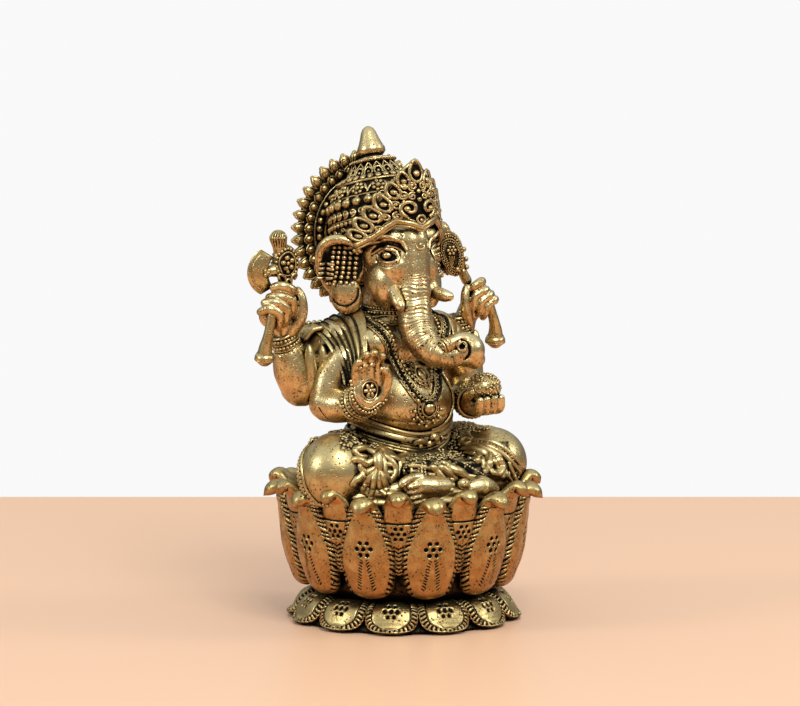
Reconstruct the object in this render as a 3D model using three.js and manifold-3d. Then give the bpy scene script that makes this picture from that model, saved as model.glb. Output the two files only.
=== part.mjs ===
// A seated, four-armed, elephant-headed deity on a double lotus, in cast brass.
// Millimetres, +Z up. The origin is the middle of the flat underside. The figure faces -Y, its left hand is +X.
// Every piece is a closed solid. A piece is cut back from the pieces made before it, which leaves a brazing gap.
import * as THREE from "three";
import { mergeVertices } from "three/addons/utils/BufferGeometryUtils.js";
import Module from "manifold-3d";

const wasm = await Module();
wasm.setup();

// Driving dimensions.
const GAP = 0.3; // the brazing gap between neighbouring pieces
const FOOT_HEIGHT = 6.4; // the lower lotus tier
const FOOT_RADIUS = 24.4; // to the tips of the lower petals
const FOOT_PETALS = 12;
const FOOT_PETAL_PHASE = -7; // degrees, the first lower petal's place from the front
const SEAT_HEIGHT = 24; // the flat top of the lotus cup
const CUP_RADIUS = 21.5; // under the petals, at the seat
const LOTUS_PETALS = 11;
const CROWN_BASE = new THREE.Vector3(0, 5.5, 77.5);
const CROWN_LEAN = 24; // degrees, backwards
const HALO_CENTRE = new THREE.Vector3(0, 18, 78.3);
const HALO_RADIUS = 15.8;

// Joints of the body: where each limb starts, bends and ends, with its radius there.
const joint = (x, y, z, radius) => ({ at: new THREE.Vector3(x, y, z), radius });
const SHOULDER = { right: joint(-13, 7.5, 57, 4.6), left: joint(13, 7.5, 57, 4.6) };
const REAR_ELBOW = { right: joint(-19.8, 8, 48.6, 4.4), left: joint(18.6, 8, 48, 4.2) };
const REAR_WRIST = { right: joint(-23, 8, 56.5, 2.7), left: joint(17.6, 8, 57.4, 2.6) };
const REAR_PALM = { right: joint(-23.6, 8, 63, 3), left: joint(20, 8, 62.6, 3) };
const REAR_FIST = { right: joint(-24, 7.4, 66.4, 3), left: joint(20.4, 7, 65, 2.8) };
const FRONT_SHOULDER = { right: joint(-12.6, 2.5, 54, 4.2), left: joint(12.4, 2.5, 54, 4.2) };
const FRONT_ELBOW = { right: joint(-17, 3, 45.8, 4), left: joint(16.2, 2.5, 45.6, 3.9) };
const FRONT_WRIST = { right: joint(-14.6, -4.2, 46, 2.9), left: joint(12, -6.2, 44.8, 2.6) };
const KNEE = { right: joint(-19.3, -6, 32.4, 7.9), left: joint(17.6, -5.4, 31.4, 7.3) };
const HIP = { right: joint(-9, 5, 31.6, 7), left: joint(9, 5, 31.4, 7) };

const degrees = (angle) => THREE.MathUtils.degToRad(angle);

// A closed three.js geometry as a solid for cutting and joining.
function solidOf(geometry) {
  const bare = geometry.clone();
  bare.deleteAttribute("normal");
  bare.deleteAttribute("uv");
  const merged = mergeVertices(bare, 1e-4);
  return new wasm.Manifold(
    new wasm.Mesh({
      numProp: 3,
      vertProperties: merged.attributes.position.array,
      triVerts: new Uint32Array(merged.index.array),
    }),
  );
}

// A solid back as a three.js geometry.
function geometryOf(solid) {
  const mesh = solid.getMesh();
  const geometry = new THREE.BufferGeometry();
  geometry.setAttribute("position", new THREE.BufferAttribute(new Float32Array(mesh.vertProperties), 3));
  geometry.setIndex(new THREE.BufferAttribute(new Uint32Array(mesh.triVerts), 1));
  geometry.computeVertexNormals();
  return geometry;
}

// Each shape below is a function of how much it is grown on every side, so that a neighbour can be cut to clear it.
const joined = (...shapes) => (grow) => shapes.map((shape) => shape(grow)).reduce((all, next) => all.add(next));

const ball = (at, radii, turn = [0, 0, 0], around = 8, along = 5) => (grow) =>
  solidOf(
    new THREE.SphereGeometry(1, around, along)
      .rotateX(Math.PI / 2)
      .scale(radii[0] + grow, radii[1] + grow, radii[2] + grow)
      .applyMatrix4(new THREE.Matrix4().makeRotationFromEuler(new THREE.Euler(...turn.map(degrees))))
      .translate(at.x, at.y, at.z),
  );

// A turned solid: its profile is given from the bottom to the top, as radius and height, along +Z.
const turned = (profile, around = 24) => (grow) => {
  const points = profile.map(([radius, height]) => new THREE.Vector2(radius > 0 ? radius + grow : 0, height));
  points[0].y -= grow;
  points.at(-1).y += grow;
  if (points.at(-2).x > 0) points.at(-2).y += grow;
  if (points[1].x > 0) points[1].y -= grow;
  return solidOf(new THREE.LatheGeometry(points, around).rotateX(Math.PI / 2));
};

// A limb between two joints, with round ends.
const limb = (from, to, around = 8) => (grow) => {
  const length = from.at.distanceTo(to.at);
  const steps = 2;
  const cap = (radius, centre, first, last) =>
    Array.from({ length: steps + 1 }, (_, i) => {
      const angle = first + ((last - first) * i) / steps;
      return new THREE.Vector2(Math.max(0, radius * Math.cos(angle)), centre + radius * Math.sin(angle));
    });
  const start = cap(from.radius + grow, 0, -Math.PI / 2, 0);
  const end = cap(to.radius + grow, length, 0, Math.PI / 2);
  start[0].x = 0;
  end.at(-1).x = 0;
  const along = to.at.clone().sub(from.at).normalize();
  const turn = new THREE.Quaternion().setFromUnitVectors(new THREE.Vector3(0, 1, 0), along);
  return solidOf(
    new THREE.LatheGeometry([...start, ...end], around)
      .applyQuaternion(turn)
      .translate(from.at.x, from.at.y, from.at.z),
  );
};

const chain = (...joints) => joined(...joints.slice(1).map((next, i) => limb(joints[i], next, 7)));

// A round bar along a smooth curve through some points.
const bar = (points, radius, { closed = false, steps = 20, sides = 6 } = {}) => (grow) => {
  const section = new THREE.Shape().absarc(0, 0, radius + grow, 0, 2 * Math.PI);
  const path = new THREE.CatmullRomCurve3(points.map((point) => new THREE.Vector3(...point)), closed);
  return solidOf(
    new THREE.ExtrudeGeometry(section, {
      steps,
      curveSegments: sides / 2,
      bevelEnabled: false,
      extrudePath: path,
    }),
  );
};

// A flat plate cut from an outline in the XZ plane, centred on its thickness.
const plate = (outline, thickness, at) => (grow) => {
  const shape = new THREE.Shape(outline.map(([across, up]) => new THREE.Vector2(across, up)));
  const depth = thickness + 2 * grow;
  return solidOf(
    new THREE.ExtrudeGeometry(shape, { depth, bevelEnabled: false })
      .translate(0, 0, -depth / 2)
      .rotateX(Math.PI / 2)
      .translate(at.x, at.y, at.z),
  );
};

const block = (size, at) => () => solidOf(new THREE.BoxGeometry(...size).translate(at.x, at.y, at.z));
const leaning = (shape) => (grow) =>
  shape(grow).rotate([-CROWN_LEAN, 0, 0]).translate(CROWN_BASE.toArray());

// ---------------------------------------------------------------- finishes
const finish = (colour, roughness) => new THREE.MeshStandardMaterial({ color: colour, roughness, metalness: 1 });
const LOTUS_BRASS = finish(0xb07a3c, 0.38);
const SKIN_BRASS = finish(0xb8995a, 0.3);
const CLOTH_BRASS = finish(0xa58a52, 0.4);
const ORNAMENT_BRASS = finish(0x8d7440, 0.45);

// ---------------------------------------------------------------- assembly
const lotus = new THREE.Group();
const figure = new THREE.Group();
const placed = [];

const boxOf = (solid) => {
  const { min, max } = solid.boundingBox();
  return new THREE.Box3(new THREE.Vector3(...min), new THREE.Vector3(...max));
};

// Cuts a shape clear of everything placed before it, keeps its main body, and adds it as a named piece.
function place(group, name, shape, material) {
  let solid = shape(0);
  const reach = boxOf(solid);
  for (const earlier of placed) if (earlier.reach.intersectsBox(reach)) solid = solid.subtract(earlier.grown);
  const main = solid.decompose().reduce((most, body) => (body.volume() > most.volume() ? body : most));
  const mesh = new THREE.Mesh(geometryOf(main), material);
  mesh.name = name;
  group.add(mesh);
  const grown = shape(GAP);
  placed.push({ grown, reach: boxOf(grown) });
  return mesh;
}

// Copies of one petal, turned round the lotus axis.
function placeRing(group, name, count, phase, shape, material) {
  const original = place(group, `${name}_01`, shape, material);
  const grown = placed.pop().grown;
  original.rotation.z = degrees(phase);
  for (let i = 0; i < count; i++) {
    const turn = phase + (360 / count) * i;
    const turnedCopy = grown.rotate([0, 0, turn]);
    placed.push({ grown: turnedCopy, reach: boxOf(turnedCopy) });
    if (i === 0) continue;
    const copy = new THREE.Mesh(original.geometry, material);
    copy.name = `${name}_${String(i + 1).padStart(2, "0")}`;
    copy.rotation.z = degrees(turn);
    group.add(copy);
  }
}

// The sector of the lotus that one of a ring of petals may fill, towards -Y.
const sector = (count, reach, height) => (grow) => {
  const half = Math.PI / count;
  const inset = GAP / 2 / Math.sin(half) - grow / Math.sin(half);
  const across = (reach - inset) * Math.tan(half);
  const shape = new THREE.Shape([
    new THREE.Vector2(0, -inset),
    new THREE.Vector2(-across, -reach),
    new THREE.Vector2(across, -reach),
  ]);
  return solidOf(new THREE.ExtrudeGeometry(shape, { depth: height, bevelEnabled: false }));
};
const within = (shape, limit) => (grow) => shape(grow).intersect(limit(grow));

// ---------------------------------------------------------------- lotus
const NECK_RADIUS = 16.4;
const hub = turned([[0, 0], [17.6, 0], [17.9, 1.2], [NECK_RADIUS, FOOT_HEIGHT], [0, FOOT_HEIGHT]], 24);
const cup = turned(
  [[0, FOOT_HEIGHT + GAP], [17.2, FOOT_HEIGHT + GAP], [19.4, 9.5], [20.6, 14], [21, 19], [CUP_RADIUS, SEAT_HEIGHT], [0, SEAT_HEIGHT]],
  22,
);
const footPetal = ball(new THREE.Vector3(0, -18.9, 1.9), [5.2, FOOT_RADIUS - 17.9, 2.6], [27, 0, 0], 6, 5);
// The lower tier is one casting: its petals grow out of a hub with a flat underside.
const lotusFoot = within(
  joined(
    hub,
    ...Array.from({ length: FOOT_PETALS }, (_, i) => (grow) =>
      footPetal(grow).rotate([0, 0, FOOT_PETAL_PHASE + (360 / FOOT_PETALS) * i])),
  ),
  (grow) => block([80, 80, FOOT_HEIGHT + grow], new THREE.Vector3(0, 0, (FOOT_HEIGHT + grow) / 2))(0),
);
const lotusPetal = within(
  joined(
    ball(new THREE.Vector3(0, -21.4, 15.6), [6.6, 3.6, 9.6], [6, 0, 0], 8, 6),
    ball(new THREE.Vector3(0, -25.4, 25.2), [3.1, 3.7, 2.7], [-24, 0, 0], 6, 4),
  ),
  sector(LOTUS_PETALS, 34, 40),
);
const INNER_PETAL_TURN = 180 / LOTUS_PETALS;
const innerPetal = ball(new THREE.Vector3(0, -23, 21.8), [3.8, 2.3, 6.6], [6, 0, 0], 6, 4);
const innerRing = turned([[18.4, 24.4], [21.6, 24.4], [22.4, 25.6], [18.9, 25.6], [18.4, 24.4]], 11);
const innerPetals = joined(
  () => innerRing(0),
  ...Array.from({ length: LOTUS_PETALS }, (_, i) => (grow) =>
    innerPetal(grow).rotate([0, 0, (360 / LOTUS_PETALS) * i])),
);

place(lotus, "lotus_foot", lotusFoot, LOTUS_BRASS);
place(lotus, "lotus_cup", cup, LOTUS_BRASS);
placeRing(lotus, "lotus_petal", LOTUS_PETALS, INNER_PETAL_TURN, lotusPetal, LOTUS_BRASS);
place(lotus, "inner_petal_ring", innerPetals, LOTUS_BRASS);

// ---------------------------------------------------------------- seated body
const torso = joined(
  ball(new THREE.Vector3(0, 2, 45), [10.6, 12, 9.4], [0, 0, 0], 12, 8),
  ball(new THREE.Vector3(0, 5, 56), [12.4, 8.8, 8], [0, 0, 0], 12, 6),
  ball(new THREE.Vector3(0, 3.4, 34), [11, 10.4, 10.2], [0, 0, 0], 12, 7),
);
const thigh = (side) => limb(HIP[side], KNEE[side], 10);
const shin = {
  right: limb(joint(-17.6, -11.4, 29.4, 4.2), joint(4, -17.6, 27.6, 2.8)),
  left: limb(joint(14.6, -10.4, 31.2, 3.8), joint(-3, -15.4, 31.6, 2.5)),
};
const foot = {
  right: joined(
    limb(joint(5.2, -18.2, 27.6, 2.4), joint(9.8, -18.4, 27.7, 1.9), 8),
    limb(joint(2.2, -19, 27.6, 1.7), joint(5.4, -19.6, 28.6, 1.6), 6),
  ),
  left: joined(
    limb(joint(-3.2, -17.2, 31.2, 2.4), joint(-8.2, -18.6, 29.6, 1.9), 8),
    limb(joint(-7.6, -19, 28.6, 1.4), joint(-9.6, -18.2, 30.4, 1.2), 6),
  ),
};
const sash =
  bar([[0, -8, 37.6], [7.4, -5.4, 39.4], [11.4, 2.6, 41.4], [7.4, 12.6, 42], [-7.4, 12.6, 42], [-11.4, 2.6, 41.4], [-7.4, -5.4, 39.4]],
    1.3, { closed: true, steps: 18 });
const knot = joined(
  ball(new THREE.Vector3(0, -10.4, 37.6), [2, 1.4, 1.7], [0, 0, 0], 6, 4),
  ball(new THREE.Vector3(-2.3, -9.8, 38.8), [1.6, 1.1, 1.3], [0, 0, 0], 6, 4),
  ball(new THREE.Vector3(2.3, -9.8, 38.8), [1.6, 1.1, 1.3], [0, 0, 0], 6, 4),
);
place(figure, "torso", torso, SKIN_BRASS);
place(figure, "right_thigh", thigh("right"), CLOTH_BRASS);
place(figure, "left_thigh", thigh("left"), CLOTH_BRASS);
place(figure, "right_shin", shin.right, CLOTH_BRASS);
place(figure, "left_shin", shin.left, CLOTH_BRASS);
place(figure, "right_foot", foot.right, SKIN_BRASS);
place(figure, "left_foot", foot.left, SKIN_BRASS);
place(figure, "waist_sash", sash, CLOTH_BRASS);
place(figure, "sash_knot", knot, ORNAMENT_BRASS);

// ---------------------------------------------------------------- arms
const bangle = (from, to, share, radius) => {
  const at = from.at.clone().lerp(to.at, share);
  const along = to.at.clone().sub(from.at).normalize();
  const turn = new THREE.Quaternion().setFromUnitVectors(new THREE.Vector3(0, 0, 1), along);
  return (grow) =>
    solidOf(
      new THREE.CylinderGeometry(radius + grow, radius + grow, 3 + 2 * grow, 12)
        .rotateX(Math.PI / 2)
        .applyQuaternion(turn)
        .translate(at.x, at.y, at.z),
    );
};
for (const side of ["right", "left"]) {
  const out = side === "right" ? -1 : 1;
  place(figure, `${side}_rear_bangles`, bangle(REAR_ELBOW[side], REAR_WRIST[side], 1.02, 3.2), ORNAMENT_BRASS);
  place(figure, `${side}_rear_forearm`, limb(REAR_ELBOW[side], REAR_WRIST[side]), SKIN_BRASS);
  place(figure, `${side}_rear_upper_arm`, limb(SHOULDER[side], REAR_ELBOW[side]), SKIN_BRASS);
  place(figure, `${side}_front_bangles`, bangle(FRONT_ELBOW[side], FRONT_WRIST[side], 0.96, 3.3), ORNAMENT_BRASS);
  place(figure, `${side}_front_forearm`, limb(FRONT_ELBOW[side], FRONT_WRIST[side]), SKIN_BRASS);
  place(figure, `${side}_front_upper_arm`, limb(FRONT_SHOULDER[side], FRONT_ELBOW[side]), SKIN_BRASS);
  place(
    figure,
    `${side}_rear_hand`,
    joined(
      limb(joint(...REAR_WRIST[side].at.toArray(), 2.3), REAR_PALM[side], 8),
      limb(REAR_PALM[side], REAR_FIST[side], 8),
      limb(joint(REAR_PALM[side].at.x - out * 2.2, 6.6, 61.6, 1.3), joint(REAR_FIST[side].at.x - out * 3, 5.4, 68, 0.9), 6),
    ),
    SKIN_BRASS,
  );
}
place(
  figure,
  "right_front_hand",
  joined(
    ball(new THREE.Vector3(-13.2, -8.2, 49), [3.6, 1.9, 4], [0, 0, 12]),
    ball(new THREE.Vector3(-13.4, -8.8, 54.6), [3.3, 1.2, 3.6], [0, 0, 12]),
    limb(joint(-10.8, -8.8, 50, 1.2), joint(-9.4, -9.4, 53.4, 0.9), 6),
  ),
  SKIN_BRASS,
);
place(figure, "sweet_ball", ball(new THREE.Vector3(11.6, -12.4, 48.6), [3.2, 3.2, 2.7], [0, 0, 0], 8, 6), ORNAMENT_BRASS);
place(
  figure,
  "left_front_hand",
  joined(
    ball(new THREE.Vector3(12, -11, 45), [3.7, 4.6, 2.2], [8, 0, 0]),
    ball(new THREE.Vector3(14.6, -14, 46), [3.4, 2.7, 1.7], [0, -16, 0], 8, 5),
  ),
  SKIN_BRASS,
);

// ---------------------------------------------------------------- head
const head = joined(
  ball(new THREE.Vector3(0, 3.6, 75.6), [10, 10.4, 8.2], [0, 0, 0], 12, 7),
  ball(new THREE.Vector3(0, -0.4, 69.4), [7.4, 7.4, 6], [0, 0, 0], 10, 6),
  limb(joint(0, 4.6, 62, 5.8), joint(0, 4, 70, 6.4), 10),
);
const trunk = chain(
  joint(0, -6, 74.6, 3.9),
  joint(0, -7.2, 68, 3.3),
  joint(0, -9.2, 61, 3.1),
  joint(0.4, -10.8, 56.8, 3),
  joint(3.2, -12.6, 54.6, 2.5),
  joint(5.6, -13.8, 54.2, 1.9),
);
const trunkTip = joined(
  ball(new THREE.Vector3(7.2, -14, 56.6), [3.7, 3, 3.7], [0, 0, 0]),
  limb(joint(3.9, -14.2, 58.2, 1.5), joint(6.6, -14, 60.4, 1.3), 6),
);
const tusk = (side) => limb(joint(side * 4.9, -4.6, 69, 1.5), joint(side * 6.3, -10, 65.2, 1.1), 8);
const ear = (side) =>
  joined(
    ball(new THREE.Vector3(side * 12.6, 5.6, 72.4), [4.8, 2, 7.2], [0, 0, side * 22], 8, 6),
    ball(new THREE.Vector3(side * 11, 3.6, 66.6), [2.9, 1.7, 4], [0, 0, side * 16], 6, 4),
  );
const crownBody = leaning(
  turned([[0, -1.6], [11.4, -1.6], [12.2, 0.4], [12.1, 3], [11.2, 5.4], [9, 10], [7, 13], [4.4, 16], [0, 16]], 16),
);
const crownFinial = leaning(
  turned([[0, 16.4], [4.9, 16.5], [4.9, 17.1], [2.4, 17.7], [2.7, 19], [2, 21.6], [0.9, 23.6], [0, 24.2]], 10),
);
// The crest is a slice of a cone that leans out over the brow.
const crest = (grow) => {
  const shell = solidOf(
    new THREE.LatheGeometry(
      [[12.4 - grow, 0.2 - grow], [13.6 + grow, 0.2 - grow], [15.6 + grow, 13.6 + grow], [14.4 - grow, 13.6 + grow], [12.4 - grow, 0.2 - grow]]
        .map(([radius, height]) => new THREE.Vector2(radius, height)),
      36,
    ).rotateX(Math.PI / 2),
  );
  const outline = new THREE.Shape([[-11, -2], [11, -2], [11.6, 3], [8.4, 8], [4.6, 11.4], [0, 15], [-4.6, 11.4], [-8.4, 8], [-11.6, 3]]
    .map(([across, up]) => new THREE.Vector2(across, up)));
  const front = solidOf(
    new THREE.ExtrudeGeometry(outline, { depth: 30, bevelEnabled: false }).rotateX(Math.PI / 2),
  );
  return shell.intersect(front).rotate([-CROWN_LEAN + 9, 0, 0]).translate([0, 6.4, 79.6]);
};

place(figure, "head", head, SKIN_BRASS);
place(figure, "trunk", trunk, SKIN_BRASS);
place(figure, "trunk_tip", trunkTip, SKIN_BRASS);
place(figure, "crown_crest", crest, ORNAMENT_BRASS);
place(figure, "crown", crownBody, ORNAMENT_BRASS);
place(figure, "crown_finial", crownFinial, ORNAMENT_BRASS);
for (const [name, side] of [["right", -1], ["left", 1]]) {
  place(figure, `${name}_tusk`, tusk(side), SKIN_BRASS);
  place(figure, `${name}_ear`, ear(side), SKIN_BRASS);
}
const halo = (grow) =>
  solidOf(
    new THREE.CylinderGeometry(HALO_RADIUS + grow, HALO_RADIUS + grow, 3.6 + 2 * grow, 24)
      .translate(HALO_CENTRE.x, HALO_CENTRE.y, HALO_CENTRE.z),
  );
place(figure, "halo", halo, ORNAMENT_BRASS);

// ---------------------------------------------------------------- what it holds and wears
const axe = joined(
  limb(joint(-24, 7.4, 69, 1.2), joint(-23.4, 7.8, 72, 1.2), 6),
  ball(new THREE.Vector3(-23.2, 7.8, 74.2), [3.1, 2, 4.2], [0, 0, 0]),
  ball(new THREE.Vector3(-24.8, 7.8, 78.6), [1.9, 1.5, 1.5], [0, 0, 0], 8, 4),
  plate([[-26, 73.2], [-28.4, 76.2], [-30.2, 77.6], [-31.8, 74.6], [-31.9, 71.6], [-30.2, 68.6], [-28.9, 67.8], [-28.6, 70.2]],
    1.6, new THREE.Vector3(0, 7.8, 0)),
);
const noose = joined(
  limb(joint(19, 7.4, 67.4, 1.2), joint(17, 7.6, 70.6, 1.2), 6),
  ball(new THREE.Vector3(16.2, 7.6, 73.6), [2.9, 2.1, 5], [0, -14, 0]),
  ball(new THREE.Vector3(13.9, 7.6, 78.6), [1.7, 1.4, 1.1], [0, 0, 0], 8, 4),
);
// The flared lower end of each staff, below the fist that holds it.
const staffEnd = (side) =>
  side === "right"
    ? limb(joint(-29, 6.2, 55, 1.8), joint(-26.2, 4.8, 63.6, 1.1), 8)
    : limb(joint(24, 6, 55.2, 1.7), joint(22.2, 4.6, 62.4, 1.1), 8);
const shawl = joined(
  ball(new THREE.Vector3(-11.2, 4.4, 54.6), [5.6, 8.2, 7.4], [0, 14, 0], 8, 6),
  ball(new THREE.Vector3(-11.6, 0.6, 50.2), [3.2, 4.6, 4.2]),
);
const garland = bar(
  [[7.4, 2.6, 63], [8.8, -4.4, 57.6], [6.9, -9.4, 51], [0, -12.2, 45.4], [-6.9, -9.4, 51], [-8.8, -4.4, 57.6], [-7.4, 2.6, 63],
    [-4, 12.6, 61], [4, 12.6, 61]],
  1.5, { closed: true, steps: 22 },
);
place(figure, "axe", axe, ORNAMENT_BRASS);
place(figure, "noose_staff", noose, ORNAMENT_BRASS);
place(figure, "axe_handle_end", staffEnd("right"), ORNAMENT_BRASS);
place(figure, "noose_handle_end", staffEnd("left"), ORNAMENT_BRASS);
place(figure, "garland", garland, ORNAMENT_BRASS);
place(figure, "shoulder_shawl", shawl, CLOTH_BRASS);

const statue = new THREE.Group();
statue.add(lotus, figure);
export default statue;
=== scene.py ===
"""A seated, four-armed, elephant-headed deity in antiqued cast brass, on a double lotus.

Shapes are worked in millimetres, in the part's own frame: +Z up, the figure faces -Y and its left hand is on
the +X side. Each mesh is turned into metres when it becomes a piece.
"""

import logging
import math
import random
from collections.abc import Callable, Iterable, Sequence
from dataclasses import dataclass, field
from enum import Enum

import bmesh
import bpy
import numpy as np
from mathutils import Euler, Matrix, Vector
from mathutils.bvhtree import BVHTree
from mathutils.interpolate import poly_3d_calc


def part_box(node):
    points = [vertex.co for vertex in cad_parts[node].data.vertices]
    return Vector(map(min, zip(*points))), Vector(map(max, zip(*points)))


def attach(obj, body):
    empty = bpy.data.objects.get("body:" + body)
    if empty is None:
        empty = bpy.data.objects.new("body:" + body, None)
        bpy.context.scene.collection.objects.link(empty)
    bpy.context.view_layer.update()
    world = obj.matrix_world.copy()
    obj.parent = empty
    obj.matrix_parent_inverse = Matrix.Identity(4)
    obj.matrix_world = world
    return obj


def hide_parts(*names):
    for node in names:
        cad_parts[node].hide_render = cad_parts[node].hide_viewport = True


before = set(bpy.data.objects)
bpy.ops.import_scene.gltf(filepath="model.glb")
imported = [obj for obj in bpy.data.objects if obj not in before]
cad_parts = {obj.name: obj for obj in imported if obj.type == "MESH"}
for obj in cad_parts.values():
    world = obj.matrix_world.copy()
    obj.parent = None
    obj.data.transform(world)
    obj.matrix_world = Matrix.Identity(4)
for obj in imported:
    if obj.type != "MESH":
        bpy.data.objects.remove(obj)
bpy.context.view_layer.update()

logging.basicConfig(level=logging.INFO, format="%(message)s")
log = logging.getLogger("statue")

MM = 0.001
TURN = 2 * math.pi
Array = np.ndarray
Pair = tuple[Array, Array]
Point = Sequence[float]
Line = Sequence[Point]
Strand = tuple[Line, float]
Girth = float | Point
Place = Callable[[Vector], Vector]
Relief = Callable[[Array, Array], Pair]
Socket = bpy.types.NodeSocket


# ------------------------------------------------------------------------------------------------ finishes
class Reading:
    """A number that changes over a surface, with the arithmetic that the finishes use."""

    def __init__(self, bench: "Bench", socket: Socket) -> None:
        self.bench = bench
        self.socket = socket

    def _with(self, operation: str, *others: "Reading | float") -> "Reading":
        """One Math node of that operation on this number and the others."""
        return Reading(self.bench, self.bench.node("ShaderNodeMath", {"operation": operation}, self, *others))

    def __add__(self, other: "Reading | float") -> "Reading":
        """This number plus the other."""
        return self._with("ADD", other)

    __radd__ = __add__

    def __mul__(self, other: "Reading | float") -> "Reading":
        """This number times the other."""
        return self._with("MULTIPLY", other)

    __rmul__ = __mul__

    def __sub__(self, other: "Reading | float") -> "Reading":
        """This number less the other."""
        return self._with("SUBTRACT", other)

    def __rsub__(self, other: float) -> "Reading":
        """The other number less this one."""
        return self * -1.0 + other

    def ramp(self, start: float, end: float) -> "Reading":
        """0 below start, 1 above end, and smooth between them."""
        settings = {"interpolation_type": "SMOOTHSTEP"}
        made = self.bench.node("ShaderNodeMapRange", settings, self, start, end, 0.0, 1.0)
        return Reading(self.bench, made)


class Bench:
    """The node tree of one finish."""

    def __init__(self, name: str) -> None:
        self.material = bpy.data.materials.new(name)
        self.material.use_nodes = True
        self.tree = self.material.node_tree
        self.tree.nodes.clear()
        self.metal = self.tree.nodes.new("ShaderNodeBsdfPrincipled")
        output = self.tree.nodes.new("ShaderNodeOutputMaterial")
        self.tree.links.new(self.metal.outputs["BSDF"], output.inputs["Surface"])

    def node(self, kind: str, settings: dict[str, object], *values: object, out: int | str = 0) -> Socket:
        """Adds a node.

        Args:
            kind: The node's type.
            settings: Its properties, which are set first.
            values: What its sockets get, in order: a number, a colour, a socket or a Reading. None skips one.
            out: Which output is wanted.

        Returns:
            That output socket.
        """
        made = self.tree.nodes.new(kind)
        for name, value in settings.items():
            setattr(made, name, value)
        shown = [socket for socket in made.inputs if socket.enabled]
        for socket, value in zip(shown, values):
            self.feed(socket, value)
        return made.outputs[out]

    def feed(self, socket: Socket, value: object) -> None:
        """Links or sets one input socket."""
        if isinstance(value, Reading):
            value = value.socket
        if isinstance(value, Socket):
            self.tree.links.new(value, socket)
        elif value is not None:
            socket.default_value = value

    def blend(self, share: Reading, first: object, second: object) -> Socket:
        """A colour between two others."""
        return self.node("ShaderNodeMix", {"data_type": "RGBA"}, share, first, second, out=2)

    def noise(self, where: Socket, scale: float, detail: float = 2.0) -> Reading:
        """Cloudy noise, with features about 1 / scale metres across."""
        return Reading(self, self.node("ShaderNodeTexNoise", {}, where, scale, detail, 0.55))

    def pits(self, where: Socket, scale: float) -> Reading:
        """The distance from scattered points, in cells."""
        return Reading(self, self.node("ShaderNodeTexVoronoi", {"feature": "F1"}, where, scale))


Colour = tuple[float, float, float, float]
CLOUD_SCALE = 420.0
GRAIN_SCALE = 2600.0
PIT_SCALE = 1500.0
CREVICE = 0.0022
BUMP_DEPTH = 0.0001


@dataclass(frozen=True)
class Brass:
    """Cast brass that was darkened, then rubbed bright on its high places.

    Fields: the record's slot, the brass's own colour, which shows on faces that look up, a painted reflection
    of the orange table that tints its sides and undersides, how much of that painted reflection shows, the
    roughness of bright metal, how deep the cast grain is, and the colours of patina and of dull metal.
    """

    slot: str
    bright: Colour
    # A painted reflection of the orange table for sides and undersides, and how much of it shows.
    table_reflection: Colour
    table_reflection_share: float
    roughness: float
    grain: float
    soot: Colour = (0.012, 0.010, 0.009, 1.0)
    dull: Colour = (0.22, 0.155, 0.055, 1.0)

    def material(self) -> bpy.types.Material:
        """Builds the finish."""
        bench = Bench(self.slot)
        where = bench.node("ShaderNodeTexCoord", {}, out="Object")
        facing = bench.node("ShaderNodeNewGeometry", {}, out="Normal")
        upward = Reading(bench, bench.node("ShaderNodeSeparateXYZ", {}, facing, out="Z"))
        carved = Reading(bench, bench.node("ShaderNodeAttribute", {"attribute_name": "patina"}, out="Fac"))
        settings = {"samples": 8, "only_local": False}
        openness = Reading(bench, bench.node("ShaderNodeAmbientOcclusion", settings, None, CREVICE, out="AO"))

        cloud = bench.noise(where, CLOUD_SCALE)
        fine = bench.noise(where, GRAIN_SCALE, 3.0)
        pits = bench.pits(where, PIT_SCALE)
        specks = (0.34 - pits).ramp(0.0, 0.16) * cloud.ramp(0.38, 0.56)

        hidden = (1.0 - openness).ramp(0.26, 0.80)
        dark = (carved + hidden * 1.05 + (fine - 0.5) * 0.5 + specks * 0.6).ramp(0.20, 0.78)

        # Painted reflection: faces that look sideways or down, judged by their normal and broken up by noise,
        # take the orange of the table as if reflected in them.
        side = ((0.44 - upward) + (cloud - 0.5) * 1.0 + (fine - 0.5) * 0.8).ramp(0.0, 0.85) * self.table_reflection_share
        metal = bench.blend(side, self.bright, self.table_reflection)
        tarnish = (cloud + (fine - 0.5) * 0.8).ramp(0.38, 0.70) * 0.42
        tinted = bench.blend(tarnish, metal, self.dull)
        bench.feed(bench.metal.inputs["Base Color"], bench.blend(dark, tinted, self.soot))
        bench.metal.inputs["Metallic"].default_value = 1.0
        gloss = self.roughness + (fine - 0.5) * 0.16 + dark * 0.34 + tarnish * 0.25
        bench.feed(bench.metal.inputs["Roughness"], gloss)

        bump = bench.tree.nodes.new("ShaderNodeBump")
        bump.inputs["Strength"].default_value = self.grain
        bump.inputs["Distance"].default_value = BUMP_DEPTH
        bench.feed(bump.inputs["Height"], fine * 0.7 + cloud * 0.5 - specks * 1.2)
        bench.feed(bench.metal.inputs["Normal"], bump.outputs["Normal"])
        return bench.material


class Finish(Enum):
    """The finishes of the statue, one for each slot of the record."""

    # The second colour of each finish is a painted reflection of the orange table, laid on sides and
    # undersides.
    LOTUS = Brass("lotus_brass", (0.46, 0.36, 0.155, 1), (0.40, 0.155, 0.042, 1), 0.85, 0.33, 0.55)
    SKIN = Brass("skin_brass", (0.66, 0.55, 0.285, 1), (0.54, 0.25, 0.09, 1), 0.66, 0.27, 0.50)
    CLOTH = Brass("cloth_brass", (0.56, 0.46, 0.22, 1), (0.47, 0.22, 0.08, 1), 0.55, 0.31, 0.50)
    ORNAMENT = Brass("ornament_brass", (0.53, 0.425, 0.20, 1), (0.44, 0.20, 0.07, 1), 0.50, 0.29, 0.50)


MATERIALS = {finish: finish.value.material() for finish in Finish}


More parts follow.
